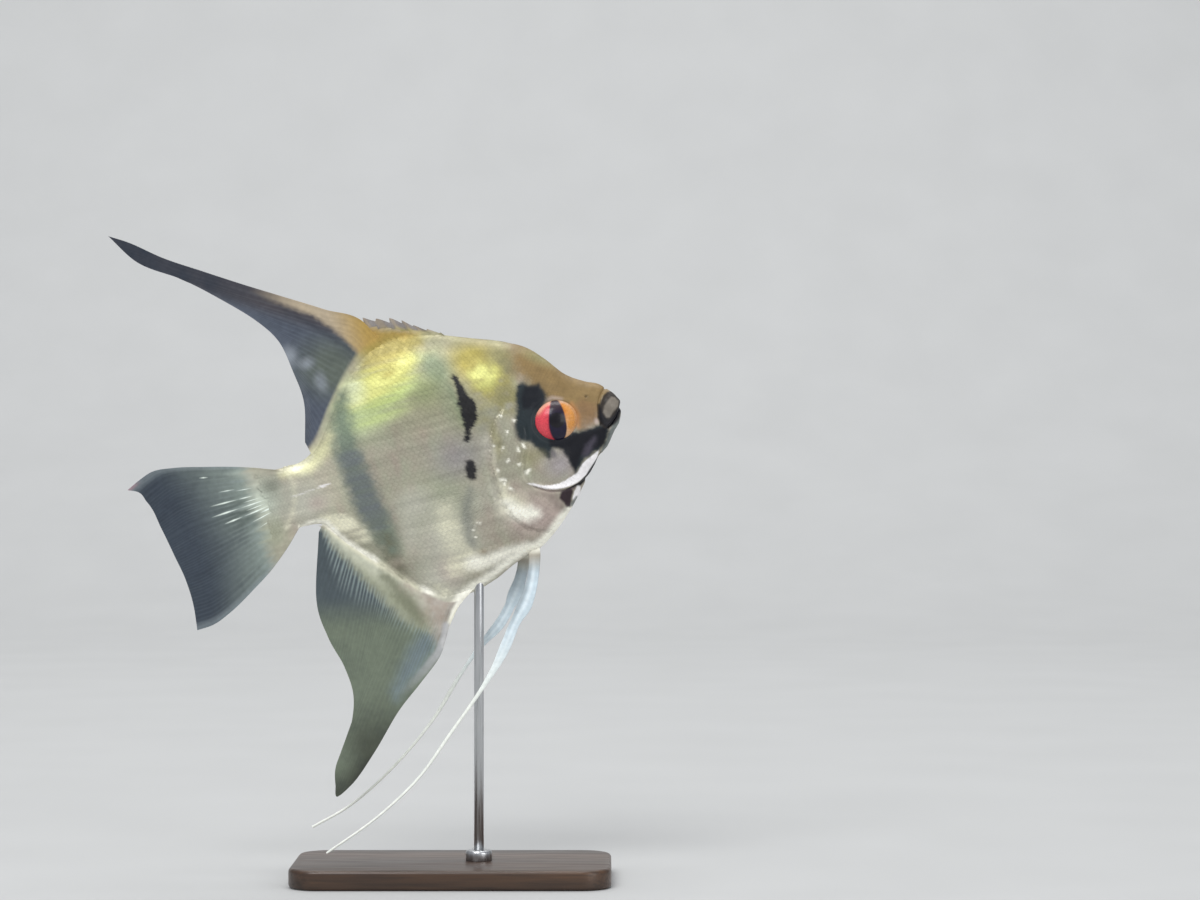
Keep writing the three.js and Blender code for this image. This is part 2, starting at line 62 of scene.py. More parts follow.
BACK = [
    (-3, 9.7), (2, 9.5), (7, 9.7), (12, 12.4), (20, 22), (29, 31.6), (36, 36.4), (43, 37.9), (52, 36.8),
    (67, 31.4), (77, 27.2), (83, 23.4), (87, 18.8), (91, 13.4), (96, 9.6), (100.5, 7.2), (103, 4.6),
    (105, 3.4),
]
BELLY = [
    (-3, -10.4), (3, -10), (8, -10.9), (14.5, -18.7), (24.5, -30.2), (32, -38.4), (38, -43), (45, -43.3),
    (53, -41.6), (62, -38), (70, -35.7), (79, -29.6), (86, -22.8), (91, -17.2), (97.5, -11.6), (102, -6.4),
    (105, -3.6),
]
HALF_WIDTH = [
    (-3, 1.1), (0, 1.9), (6, 3.2), (15, 4.5), (28, 6.3), (42, 8.1), (56, 9.3), (66, 9.7), (76, 9.2),
    (84, 8.1), (92, 6.4), (98, 4.9), (102, 3.9), (105, 3.1),
]
WIDEST_LEVEL = [(-3, -0.4), (30, -2.5), (60, -4), (84, -2), (98, -2.4), (105, 0)]
KEEL = [(-3, 1), (15, 1.3), (45, 1.4), (70, 1.3), (90, 1.08), (105, 0.9)]

# Scaly flesh that climbs from the body's edge onto the roots of the dorsal and anal fins.
DORSAL_SHEATH = [(6, 0), (22, 0), (28, 2), (32, 7), (36, 7), (44, 3), (52, 0.5), (56, 0)]
ANAL_SHEATH = [(6, 0), (12, 3), (22, 4.5), (30, 6), (34, 5), (38, 2.2), (41, 0.2), (44, 0)]

# turn is how far the eyeball's axis turns towards the snout, and tall its height as a share of its length.
EYE = {"u": 84.4, "w": 0.0, "y": 5.4, "radius": 7.0, "depth": 4.55, "turn": math.radians(8), "tall": 0.92}

# Lines on the head, as [u, w] points.
GILL_REAR = [
    (71.5, 8.5), (67, 4), (64.2, -2), (62.8, -9), (62.6, -16), (64.2, -23), (68.2, -28.6), (74.5, -31.6),
]
PREOPERCLE = [(75.6, 2.5), (74.8, -3.2), (72, -9), (71.2, -13), (71.8, -16)]
JAW_LINE = [
    (71.8, -16.2), (74.4, -18.1), (77.7, -19.7), (81.2, -20.5), (84.3, -20.5), (86.9, -20), (89.4, -18.9),
    (91.8, -17), (93.3, -15.1), (94.9, -13.3),
]
GAPE = [(105.6, 0.2), (104.4, -1.9), (102.6, -4.2), (100.6, -5.9), (99.4, -6.5)]
LIP_CREASE = [(102.2, 6), (100.2, 4.4), (98.8, 2.2), (98, -0.5), (97.4, -2.9), (97.5, -4.9)]
LOWER_LIP = [(102.6, -6.2), (100.4, -9), (97.6, -11.8)]
NOSTRIL = (95.4, 4.6)


def smooth(knots):
    """A smooth function through (x, value) knots, with the same cubic pieces as the solids are drawn with."""
    x, v = np.array(knots, float).T
    run, rise = np.diff(x), np.diff(v) / np.diff(x)
    inner = (rise[:-1] * run[1:] + rise[1:] * run[:-1]) / (run[1:] + run[:-1])
    slope = np.concatenate([rise[:1], inner, rise[-1:]])

    def at(q):
        i = np.clip(np.searchsorted(x, q, side="right") - 1, 0, len(x) - 2)
        t = np.clip((q - x[i]) / run[i], 0, 1)
        ease, bulge = t * t * (3 - 2 * t), t * (1 - t)
        return v[i] * (1 - ease) + v[i + 1] * ease + bulge * ((1 - t) * slope[i] - t * slope[i + 1]) * run[i]

    return at


def path(knots):
    """The same through (t, u, w) points: a curve of t."""
    u = smooth([(t, a) for t, a, _ in knots])
    w = smooth([(t, b) for t, _, b in knots])
    return lambda t: (u(t), w(t))


def place(u, w, y):
    x = TAIL_ROOT_X + u * math.cos(PITCH) - w * math.sin(PITCH)
    z = TAIL_ROOT_Z + u * math.sin(PITCH) + w * math.cos(PITCH)
    return np.stack([x, y + 0 * x, z], -1) * MM


back, belly, half_width = smooth(BACK), smooth(BELLY), smooth(HALF_WIDTH)
widest_level, keel = smooth(WIDEST_LEVEL), smooth(KEEL)
dorsal_sheath, anal_sheath = smooth(DORSAL_SHEATH), smooth(ANAL_SHEATH)


def circle(count):
    """Angles all the way round."""
    return np.linspace(0, 2 * math.pi, count, endpoint=False)


def ramp(low, high, x):
    """0 up to low, 1 from high on and smooth between; it falls instead where low is the larger."""
    t = np.clip((x - low) / (high - low), 0, 1)
    return t * t * (3 - 2 * t)


def hash2(i, j, seed):
    """A repeatable random number from 0 to 1."""
    h = np.sin(i * 127.1 + j * 311.7 + seed * 74.7) * 43758.5453
    return h - np.floor(h)


def noise(x, y, seed=0):
    """Smooth random hills from -1 to 1, about one unit apart; each use has a seed of its own."""
    i, j = np.floor(x), np.floor(y)
    s, t = x - i, y - j
    s, t = s * s * (3 - 2 * s), t * t * (3 - 2 * t)
    low = hash2(i, j, seed) * (1 - s) + hash2(i + 1, j, seed) * s
    high = hash2(i, j + 1, seed) * (1 - s) + hash2(i + 1, j + 1, seed) * s
    return (low * (1 - t) + high * t) * 2 - 1


def rough_noise(x, y, seed=0):
    finer = 0.5 * noise(2.1 * x, 2.1 * y, seed + 1) + 0.25 * noise(4.3 * x, 4.3 * y, seed + 2)
    return (noise(x, y, seed) + finer) / 1.75


def near(line, u, w):
    """Distance from a line of points, the side (1 is left of its direction), and how far along it, 0 to 1."""
    points = np.array(line, float)
    lengths = np.hypot(*np.diff(points, axis=0).T)
    distance, side, along = np.full(u.shape, 1e9), np.zeros(u.shape), np.zeros(u.shape)
    done = 0.0
    for (au, aw), (bu, bw), length in zip(points[:-1], points[1:], lengths):
        du, dw = (bu - au) / length, (bw - aw) / length
        reach = np.clip((u - au) * du + (w - aw) * dw, 0, length)
        off_u, off_w = u - au - du * reach, w - aw - dw * reach
        here = np.hypot(off_u, off_w)
        closer = here < distance
        distance = np.where(closer, here, distance)
        side = np.where(closer, np.sign(du * off_w - dw * off_u), side)
        along = np.where(closer, (done + reach) / lengths.sum(), along)
        done += length
    return distance, side, along


def curve(points, count=24):
    """A line of count points, bent smoothly through the given ones."""
    points = np.array(points, float)
    t = np.concatenate([[0], np.cumsum(np.hypot(*np.diff(points, axis=0).T))])
    s = np.linspace(0, t[-1], count)
    return np.stack([smooth(list(zip(t, points[:, 0])))(s), smooth(list(zip(t, points[:, 1])))(s)], -1)


GILL_EDGE, CHEEK_EDGE, JAW_EDGE = curve(GILL_REAR), curve(PREOPERCLE), curve(JAW_LINE)
LIP_FOLD = curve(LIP_CREASE, 12)


def eye_gap(u, w):
    """Distance from the eye's middle, measured along the body, since the eye is a little flattened."""
    return np.hypot(u - EYE["u"], (w - EYE["w"]) / EYE["tall"])


def hill(distance, width):
    """1 at distance 0, falling away on both sides."""
    return np.exp(-((distance / width) ** 2))


def relief(u, w):
    """How far the skin rises over the plain body: gill cover, cheek, jaw, lips, nostril and the eye's rim."""
    from_eye = eye_gap(u, w)  # a rim round the eye and a hollow under the eyeball
    rise = 0.2 * hill(from_eye - 7.6, 1.2) - 0.3 * hill(from_eye - 6.35, 0.4) - 2.2 * ramp(6.0, 5.0, from_eye)

    # The gill cover swells towards its rear edge, with a cleft behind it.
    gap, side, along = near(GILL_EDGE, u, w)
    behind = -gap * side
    ends = ramp(0, 0.08, along) * ramp(1, 0.93, along)
    rise += ends * np.where(behind < 0, 0.3 * ramp(-9, -0.6, behind), 0.3 - 0.62 * ramp(0, 0.25, behind))
    rise += ends * np.where(behind > 0, 0.32 * ramp(0.25, 3.5, behind), 0)

    # A groove down the cheek, with a ridge on each side.
    gap, _, along = near(CHEEK_EDGE, u, w)
    ends = ramp(0, 0.2, along) * ramp(1, 0.85, along)
    rise += ends * (0.16 * hill(gap - 0.7, 0.5) - 0.2 * hill(gap, 0.35))

    # The lower jaw's edge, with a groove under it.
    gap, side, along = near(JAW_EDGE, u, w)
    below = -gap * side
    rise += ramp(0, 0.1, along) * (0.25 * hill(below + 0.5, 0.6) - 0.4 * hill(below - 0.25, 0.35))

    # The gape between swollen lips, and the crease behind them.
    gap, _, _ = near(GAPE, u, w)
    rise += 0.25 * hill(gap - 0.9, 0.6) - 0.8 * hill(gap, 0.24)
    gap, _, _ = near(LIP_FOLD, u, w)
    rise -= 0.5 * hill(gap, 0.35)
    rise += 0.35 * ramp(1, 0.3, np.hypot((u - 102.2) / 2.6, (w - 0.4) / 3.4))
    gap, _, _ = near(LOWER_LIP, u, w)
    rise += 0.3 * hill(gap, 1.0)

    # The nostril, and the ridge where the belly's flesh meets the anal fin.
    from_nostril = np.hypot(u - NOSTRIL[0], w - NOSTRIL[1])
    rise += 0.08 * hill(from_nostril - 0.75, 0.3) - 0.4 * hill(from_nostril, 0.35)
    ridge, _, along = near(ANAL_RIDGE, u, w)
    rise += 0.2 * hill(ridge, 0.9) * ramp(0, 0.1, along)
    return rise + 0.06 * rough_noise(u / 5, w / 5, 3) + 0.03 * rough_noise(u / 1.6, w / 1.6, 7)


# ---------------------------------------------------------------- markings
def ink(code):
    """A colour written as on a screen, made linear."""
    c = np.array([int(code[i:i + 2], 16) for i in (0, 2, 4)]) / 255
    return np.where(c < 0.04045, c / 12.92, ((c + 0.055) / 1.055) ** 2.4)


def inks(*codes):
    return [ink(code) for code in codes]


def mix(under, over, amount):
    """The first colour at amount 0 and the second at 1."""
    return under + (over - under) * np.clip(amount, 0, 1)[..., None]


def layered(colour, *layers):
    """Colour with each layer's tint mixed over it in turn, by that layer's amount."""
    for tint, amount in layers:
        colour = mix(colour, tint, amount)
    return colour


def rgba(colour, alpha=1.0):
    return np.concatenate([colour, np.broadcast_to(np.clip(alpha, 0, 1), colour.shape[:-1])[..., None]], -1)


SILVER, SILVER_WARM, SILVER_GREEN, OLIVE_SILVER = inks("a39d8d", "a89b8e", "a7ab94", "a19f83")
# BRIGHT serves both pale markings and painted highlights.
PALE_GREEN, PALE_SILVER, CREAM, BRIGHT, WHITE = inks("c2cfa6", "c6c5b6", "e9e6cc", "fffdee", "fdfafa")
MAUVE, LEMON, LEMON_PALE, LEMON_GREEN, NAPE_GOLD = inks("baa9a1", "c3c274", "dcdc8a", "bccb85", "a89c55")
ORANGE, OLIVE, TAN, BROWN, SADDLE, BAND = inks("b09250", "8f8a62", "86704a", "866648", "869074", "6b7c6f")
BAND_LOW, TAIL_PALE, ROOT_CREAM, BAND_OLIVE = inks("6b7172", "c9d2c2", "dddbb0", "74735e")
TAIL_SHADE, ROOT_PALE, BLACK, TEAL_BLACK, GREY_LIP = inks("83877a", "e2eac6", "0b0c16", "13222a", "7d766c")
DARK_LIP, SPOT, JAW_SHADE, STRIP, HALO = inks("2a2522", "2b1b25", "5b4a4c", "727977", "bd7f48")
CHEEK, DIM_MAUVE, COOL_SILVER, OLIVE_GOLD, MOSS = inks("a19a9a", "57525f", "9a9697", "948848", "868f66")
BEIGE = ink("b0a690")

MASK = [
    (78.2, 14.1), (76.3, 13.3), (75, 10.7), (74.4, 7.6), (73.9, 5.3), (72.8, 3.2), (72.1, 0.9),
    (71.8, -1.2), (72.9, -2.9), (74.9, -3.8), (76.1, -5), (76.9, -6.3), (77.7, -8.1), (78.7, -10),
    (79.7, -11), (80.6, -10.2), (80.8, -8.6), (81.8, -7.8), (83, -8.2), (84, -9), (84.8, -10.5),
    (85.3, -11.9), (85.5, -13.5), (85.8, -15.5), (86, -17.2), (86.8, -16.5), (87.9, -15.3), (89, -14.3),
    (90.4, -13.6), (91.8, -13.1), (93.2, -12.6), (94.7, -12.3), (96.3, -11.5), (97.7, -10.1), (98.6, -8.5),
    (99.3, -6.8), (99.6, -5.2), (97.9, -4.6), (95.9, -4.9), (94.1, -5.1), (92.2, -5.2), (90.3, -5.2),
    (88.7, -4.6), (86.4, -4.6), (83.6, -4.6), (81.1, -3.7), (80, -2.2), (79.4, -0.5), (79.6, 2), (80.9, 4),
    (82.2, 5), (83.8, 6.9), (84, 8.5), (83.5, 10.2), (83.1, 12.1), (81.2, 12), (79.4, 12.2),
]
LIP_RING = [
    (97, -4.8), (97.5, -2.6), (98.2, -0.3), (99.1, 1.8), (100.4, 3.4), (102, 4.3), (103.6, 4.4), (105, 4),
    (106, 2), (106.2, 0), (105.2, -1.6), (104.1, -3.3), (102.6, -5), (101, -6.1), (99.3, -6.6),
    (97.9, -6.2),
]
LIP_PAD = [
    (101.5, 1.7), (102.7, 2.4), (103.8, 2), (104.5, 0.6), (103.9, -0.9), (101.9, -2.3), (100.5, -3.5),
    (99.6, -3.3), (99.1, -1.5), (99.9, 0.4),
]
LIP_STRIP = [
    (104.4, -3.6), (103.8, -6), (101.8, -8.8), (99.3, -11.2), (96.7, -13), (95, -13.1), (96.4, -11.3),
    (98.2, -9.3), (99.5, -7.2), (100.8, -5.8), (102.6, -4.6),
]
JAW_WHITE = [
    (71.2, -15.8), (73.1, -16.3), (75, -17.5), (77.5, -18.3), (80.6, -18.5), (82.9, -18), (85.3, -17.3),
    (86.7, -16.8), (87.9, -15.5), (89, -14.6), (90.4, -13.9), (91.8, -13.4), (93.2, -12.8), (94.8, -12.1),
    (93.3, -14.4), (91.8, -16), (90.3, -17.4), (88.6, -18.5), (86.7, -19.4), (84.4, -20), (81.6, -20.2),
    (78.6, -19.8), (75.8, -18.8), (73.4, -17.3),
]
THROAT_SPOT = [
    (80.9, -20.9), (83.4, -20.9), (84, -21.8), (83.2, -23.4), (82.5, -25.1), (81.8, -26.5), (80.6, -26.1),
    (80.1, -24.4), (79.3, -22.9), (79.7, -21.8),
]
GILL_CREAM = [
    (62.6, -18.8), (64.6, -19.2), (67.2, -21.7), (70.4, -22.9), (72.4, -24.8), (71.8, -26.4), (68.2, -26.7),
    (64.6, -25), (62.8, -22),
]
SECOND_BAR = [
    (58.7, 22), (59.9, 20.4), (60.4, 17.7), (61, 15.4), (62.1, 12.9), (63, 10.4), (62.6, 8.1), (61, 5.7),
    (59.3, 4), (58.8, 1.7), (57.4, 0.5), (56.4, 1.7), (57.6, 4.5), (58, 7.2), (57.8, 9.7), (57.7, 12.6),
    (57.9, 15.3), (58.5, 17.7), (58.2, 19.9),
]
SECOND_SPOT = [
    (55.4, -4.2), (57, -4.1), (57.9, -5.3), (57.7, -8), (56.8, -10.2), (55.2, -10.4), (54.3, -8.9),
    (54.4, -6.4),
]
THIRD_BAR = [  # a stroke: u, w and half width
    (24.6, 25, 1.5), (24, 22.5, 2.4), (22.6, 17.9, 3.2), (21.9, 11.8, 3.6), (21.9, 5.6, 3.6),
    (22.6, -0.8, 3.9), (23.1, -7.1, 3.9), (24.6, -13.6, 3.6), (25.7, -18.6, 3.3), (26.2, -23.6, 2.6),
]
ANAL_RIDGE = [
    (2, -9.8), (6, -9.2), (9.5, -10.4), (11.6, -14.1), (14.1, -17.9), (17.1, -21.4), (20.7, -25.3),
    (24.4, -29.4), (27.4, -33), (29.3, -35.8), (31.5, -38),
]
BELLY_FRONT = [
    (70.4, -35.3), (64.9, -36.2), (59.9, -37.6), (56.2, -39), (50.8, -41.2), (45.9, -42.6), (42.1, -44.2),
    (39.3, -47), (36.4, -51.2), (33.6, -55.6),
]

# What is painted, in order: kind, colour, strength, and then
#   patch: its middle, its reaches and its tilt in degrees; it fades out from its middle
#   area: its edge's softness and raggedness in mm, and its outline
#   line: the same two, and its points as u, w and half width
# Streaky kinds break up into streaks along the body and mottled ones into specks.
PAINT = [
    ("patch", OLIVE_SILVER, 0.9, (52, 16), (30, 13), 8),
    ("patch", PALE_GREEN, 1.0, (29, 19), (18, 13), 30),
    ("patch", SILVER_GREEN, 0.8, (46, -13), (16, 20)),
    ("patch", PALE_SILVER, 0.9, (43, -26), (17, 17), 20),
    ("patch", CREAM, 0.3, (14, -1), (17, 13), 5),
    ("patch", PALE_SILVER, 1.0, (38, -38), (12, 12), 25),
    ("patch", MAUVE, 0.6, (42, -35), (7, 8), 25),
    ("patch", TAIL_PALE, 0.9, (-8, 1), (13, 12)),
    ("patch", SILVER_GREEN, 0.9, (-8, -9), (9, 8)),
    ("patch", TAIL_SHADE, 0.8, (-3.4, 4.6), (5, 4.5)),
    ("patch", PALE_SILVER, 1.0, (5, -3), (11, 11)),
    ("patch", PALE_SILVER, 0.8, (36.5, -12.5), (10, 8)),
    ("patch", PALE_SILVER, 0.5, (56, -16), (7, 8)),
    ("patch", PALE_SILVER, 0.5, (64, -1), (5, 7)),
    ("patch", MAUVE, 1.0, (71, -26), (20, 13), -28),
    ("patch", COOL_SILVER, 0.75, (53.5, -2.5), (13, 10)),
    ("patch", PALE_SILVER, 0.6, (33, -20), (5, 9), -10),
    ("patch", PALE_SILVER, 0.6, (61.5, -18), (4, 11)),
    ("patch", MAUVE, 0.6, (8.6, -4), (5, 4)),
    ("streaky patch", LEMON_GREEN, 1.2, (36, 21), (21, 10), 12),
    ("streaky patch", LEMON, 1.3, (39, 28), (23, 9), 16),
    ("streaky patch", LEMON_PALE, 1.1, (34, 24.5), (15, 4), 20),
    ("streaky patch", LEMON_PALE, 0.8, (43.6, 29.3), (7, 3), 25),
    ("patch", NAPE_GOLD, 1.2, (66, 24), (15, 11), -24),
    ("patch", OLIVE, 1.1, (74, 22), (8, 9), -24),
    ("patch", NAPE_GOLD, 1.3, (42, 37), (17, 7.5)),
    ("mottled patch", NAPE_GOLD, 1.1, (69.5, 16), (9, 9), -40),
    ("mottled patch", LEMON, 1.1, (68, 18.5), (7.5, 7), -40),
    ("mottled patch", LEMON_PALE, 1.1, (67, 19.8), (5.2, 3.6), -20),
    ("patch", SADDLE, 1.2, (54, 25), (7, 12), 15),
    ("patch", SADDLE, 0.55, (55.6, 12), (5, 14), 6),
    ("patch", MOSS, 0.8, (49.6, 19.5), (8, 8), 10),
    ("patch", OLIVE_SILVER, 1.1, (53, 33), (8, 4), -5),
    ("patch", ORANGE, 1.3, (36, 42), (13, 9), -35),
    ("patch", ORANGE, 0.8, (46, 38), (10, 4), -5),
    ("streaky patch", ROOT_PALE, 0.8, (28, 25), (6.5, 6.5), -25),
    ("patch", NAPE_GOLD, 0.6, (40, 31.5), (10, 6), 10),
    # The back's gold, darkened along the shoulder's ridge as painted shade that tones down the light falling
    # on the ridge.
    ("line", OLIVE_GOLD, 0.9, 4.5, 0.9, [(34, 32.4, 1.0), (38, 34, 2.4), (43, 34.9, 3.0), (51, 34.2, 1.8)]),
    ("streaky patch", NAPE_GOLD, 0.6, (40.4, 27.8), (5, 2.4), 20),
    ("line", BEIGE, 0.75, 2.6, 0.6, [(38, 43.4, 0.6), (44, 41, 1.1), (51, 38.4, 0.6)]),
    ("patch", BAND_OLIVE, 0.6, (75.4, 18.6), (5, 5.5)),
    ("line", OLIVE, 0.55, 3, 0.5, [(54, 36, 0.8), (62, 33.2, 1.4), (70, 30, 1.4), (75, 27.6, 0.6)]),
    ("mottled patch", OLIVE, 1.2, (72, 10.5), (6, 8)),
    ("mottled patch", OLIVE, 0.6, (62.5, 10), (9, 9)),
    ("patch", OLIVE, 0.6, (74, -8.5), (5.5, 6)),
    ("patch", OLIVE, 0.6, (66, 0), (2.6, 9), 10),
    ("area", TAN, 1.0, 6, 1.0, [(78, 30), (76.5, 18), (80, 12), (84, 4), (91, -4), (97, -3), (107, 8),
        (92, 26)]),
    ("area", BROWN, 0.6, 3, 0.6, [(88, 2), (91, -4.5), (97.5, -4), (98, 1), (94, 4)]),
    ("patch", OLIVE, 0.8, (85, 20), (10, 3.5), -38),
    ("patch", CHEEK, 1.0, (82.5, -13), (8, 7), 10),
    ("line", HALO, 0.5, 1.8, 0, [(90.6, 3.6, 0.5), (91.3, 0, 0.7), (90.6, -3.6, 0.5)]),
    ("line", MAUVE, 0.6, 1.6, 0.2, [(82, 6.5, 0.3), (85.5, 6.9, 0.5), (88, 5.8, 0.3)]),
    ("line", ROOT_CREAM, 1.0, 4.4, 0.4, [(1.5, 7.6, 1.2), (9, 8.0, 2.4), (14.3, 10.6, 2.2),
        (17.6, 14.4, 1.2)]),
    ("line", CREAM, 0.7, 2.2, 0.3, [(0.5, 8.4, 0.6), (6, 8.7, 1.1), (10.5, 10, 0.6)]),
    ("line", CREAM, 0.5, 2.4, 0.6, [(2.5, 7, 0.3), (3.3, 3.2, 0.6), (2.6, -0.3, 0.5), (0.4, -5, 0.6),
        (-2.6, -8.4, 0.4)]),
    ("streaky area", CREAM, 0.8, 2.8, 1, [(8, -8), (16, -10), (21.5, -15), (21.5, -20), (16.5, -18.6),
        (11, -12.6)]),
    ("line", CREAM, 0.75, 1.4, 0.5, [(a, b, 0.6) for a, b in ANAL_RIDGE]),
    ("line", BRIGHT, 1.0, 1.8, 0.5, [(a, b, 0.7) for a, b in ANAL_RIDGE[:7]]),
    ("patch", BRIGHT, 1.4, (33.2, -38.6), (4, 1.6), -42),
    # Partly the belly's pale edge and partly painted highlight, along the belly's front edge.
    ("line", BRIGHT, 1.0, 2.4, 0.3, [(a, b + 0.9, 1.3) for a, b in BELLY_FRONT]),
    ("line", BRIGHT, 0.9, 2.8, 0.6, [(47.3, -35.4, 0.8), (50.7, -35.8, 1.4), (56, -34.6, 1.8),
        (61.5, -34, 1.5), (66, -33.8, 0.8)]),
    ("patch", SPOT, 0.35, (53.6, -38), (3, 1.1), 5),
    ("patch", BROWN, 0.4, (52.6, -32), (2, 1.8)),
    ("streaky area", CREAM, 0.66, 5, 0.8, [(44, -14), (48, -14), (50, -26), (51, -36), (41, -37),
        (42, -20)]),
    ("patch", BRIGHT, 1.0, (49.6, -34.2), (5.5, 3.6), -5),
    ("mottled patch", CREAM, 0.7, (37.5, -39.5), (5, 3.5), -20),
    ("line", BAND_LOW, 0.55, 3.4, 0.7, [(54.2, -13, 0.8), (52, -17, 1.4), (50.8, -21.2, 1.7),
        (49.8, -25.6, 1.7), (50.3, -29.4, 0.9)]),
    ("line", BAND, 0.8, 5.2, 1.4, THIRD_BAR),
    ("streaky line", BAND_LOW, 0.7, 4.6, 1.2, THIRD_BAR[4:8]),
    ("patch", BAND_OLIVE, 0.55, (25.8, -32.4), (3, 3)),
    ("mottled line", BAND_OLIVE, 0.5, 3.6, 1.0, [(25, -20, 2.2), (26, -25.6, 2.4), (27, -29.8, 1.5),
        (27.8, -31.8, 0.8)]),
    ("line", WHITE, 0.6, 0.5, 0.3, [(1.1, 0.1, 0.05), (3.5, -0.2, 0.12), (5.4, 0.0, 0.05)]),
    ("line", WHITE, 0.8, 0.5, 0.3, [(5.8, 0.1, 0.1), (7.7, 0.2, 0.15), (9.2, 0.2, 0.05)]),
    ("line", WHITE, 0.9, 0.5, 0.3, [(9.8, 0.2, 0.1), (11.2, 0.5, 0.35), (13.1, 0.5, 0.3),
        (13.8, 0.6, 0.1)]),
    ("line", CREAM, 0.35, 1.6, 0.4, [(66.9, 2.3, 0.3), (63.4, -7, 0.5), (63.2, -14, 0.6),
        (63.4, -18, 0.6)]),
    ("line", CREAM, 0.9, 3, 0.4, [(64.8, -14.7, 0.5), (63.6, -17.5, 1.1), (64.6, -20.6, 1.4)]),
    ("patch", CREAM, 0.9, (65.5, -21), (7, 6), -20),
    ("area", BRIGHT, 1.1, 4.2, 0.6, GILL_CREAM),
    ("line", OLIVE, 0.45, 2.2, 0.5, [(66.6, 5, 0.8), (65.6, -1, 1.3), (65.2, -6, 0.7)]),
    # Partly the throat's pale edge and partly painted highlight, along its lower outline.
    ("line", BRIGHT, 1.0, 2.2, 0.2, [(81.4, -26.6, 0.9), (78.4, -29.2, 1.6), (75.4, -31.6, 1.7),
        (71, -34.4, 1.4)]),
    ("area", JAW_SHADE, 0.3, 2.5, 0.4, [(73, -19), (80, -22), (80, -27), (77.5, -26), (76.5, -22)]),
    ("area", WHITE, 1.0, 0.35, 0.05, JAW_WHITE),
    ("line", JAW_SHADE, 0.8, 0.5, 0.05, [(72.5, -17, 0.1), (77, -20, 0.2), (81.2, -21.1, 0.25),
        (84.4, -21.1, 0.4)]),
    ("line", BLACK, 0.97, 0.4, 0.05, [(82, -21, 0.1), (86.5, -20.3, 0.65), (89.2, -18.9, 0.7),
        (91.7, -16.7, 0.65), (93.6, -14.7, 0.5), (95.2, -13, 0.3)]),
    ("area", SPOT, 0.97, 0.8, 0.25, THROAT_SPOT),
    ("line", WHITE, 1.0, 0.5, 0.1, [(85.8, -21.5, 0.6), (84.9, -22.9, 1.0), (83.6, -24.2, 0.5)]),
    ("line", STRIP, 0.8, 0.6, 0.1, [(84.4, -24.2, 0.5), (82.6, -25.8, 0.6)]),
    ("area", STRIP, 0.95, 0.6, 0.1, LIP_STRIP),
    ("area", TEAL_BLACK, 0.97, 1.7, 0.5, MASK),
    ("area", BLACK, 0.95, 1.6, 0.2, [(81, -4.8), (81, -7), (84.5, -9), (86, -16.6), (89, -12.5), (97, -11),
        (99.2, -5.6), (91, -5.6)]),
    ("area", BLACK, 0.8, 2.0, 0.2, [(78.6, 12.6), (76.4, 9.6), (76.2, 6), (80.4, 4.8), (83.2, 7.6),
        (82.6, 11.4)]),
    ("patch", OLIVE, 0.3, (77.6, -8.4), (3.4, 2.6), -35),
    ("patch", DIM_MAUVE, 0.7, (81.4, -9.4), (1.4, 2.4)),
    ("line", DIM_MAUVE, 0.8, 2.8, 0.5, [(94.4, -8.4, 0.3), (92.8, -10, 0.9), (90.8, -12.2, 0.9)]),
    ("area", DARK_LIP, 0.97, 0.7, 0.1, LIP_RING),
    ("line", BLACK, 0.85, 0.9, 0.15, [(98.4, 1, 0.5), (97.9, -2.6, 0.9), (99.5, -5.4, 1.1),
        (102.5, -4, 0.9), (105.3, -0.6, 0.6)]),
    ("area", GREY_LIP, 1.0, 0.8, 0.1, LIP_PAD),
    # Painted highlight: a pale mauve spot at the mouth's corner.
    ("patch", MAUVE, 0.9, (96.4, -3.6), (1.2, 1.7)),
    # Painted shade: a black line in the gape between the lips.
    ("line", BLACK, 0.95, 0.3, 0.05, [(a, b, 0.28) for a, b in GAPE]),
    # Painted shade: the nostril's pit darkened.
    ("patch", DARK_LIP, 0.5, NOSTRIL, (0.7, 0.6), 20),
    ("line", SADDLE, 0.8, 2.4, 0.6, [(56.8, 18, 0.6), (57.4, 12, 0.9), (57.6, 6, 0.5)]),
    ("area", BLACK, 0.97, 0.7, 0.7, SECOND_BAR),
    ("area", BLACK, 0.95, 0.8, 0.5, SECOND_SPOT),
]
GLINTS = [  # painted highlights, small bright glints: u, w and radius
    (69, 6, 0.4), (72.6, 3.4, 0.4), (69.6, 0.5, 0.35), (64.7, -2.1, 0.4), (73.3, -4.6, 0.6),
    (71.4, -5.3, 0.5), (67.6, -7.7, 0.5), (72.5, -12.3, 0.8), (64.9, -13.6, 0.6), (64.2, -12.6, 0.5),
    (63.9, -9.5, 0.5), (66, -15.8, 0.5), (53.8, -23, 0.4), (51.8, -24.9, 0.45), (51.9, -27.2, 0.4),
    (67, -3.6, 0.35), (70.6, -9.6, 0.4),
]


def line_mark(line, u, w, soft, rag):
    """1 inside a stroke of changing half width, falling to 0 over soft; rag makes its edge uneven."""
    points = [(a, b) for a, b, _ in line]
    gap, _, along = near(points, u, w)
    lengths = np.concatenate([[0], np.cumsum(np.hypot(*np.diff(points, axis=0).T))])
    width = np.interp(along * lengths[-1], lengths, [c for _, _, c in line])
    return ramp(soft / 2, -soft / 2, gap - width + rag * rough_noise(u / 1.3, w / 1.3, 11))


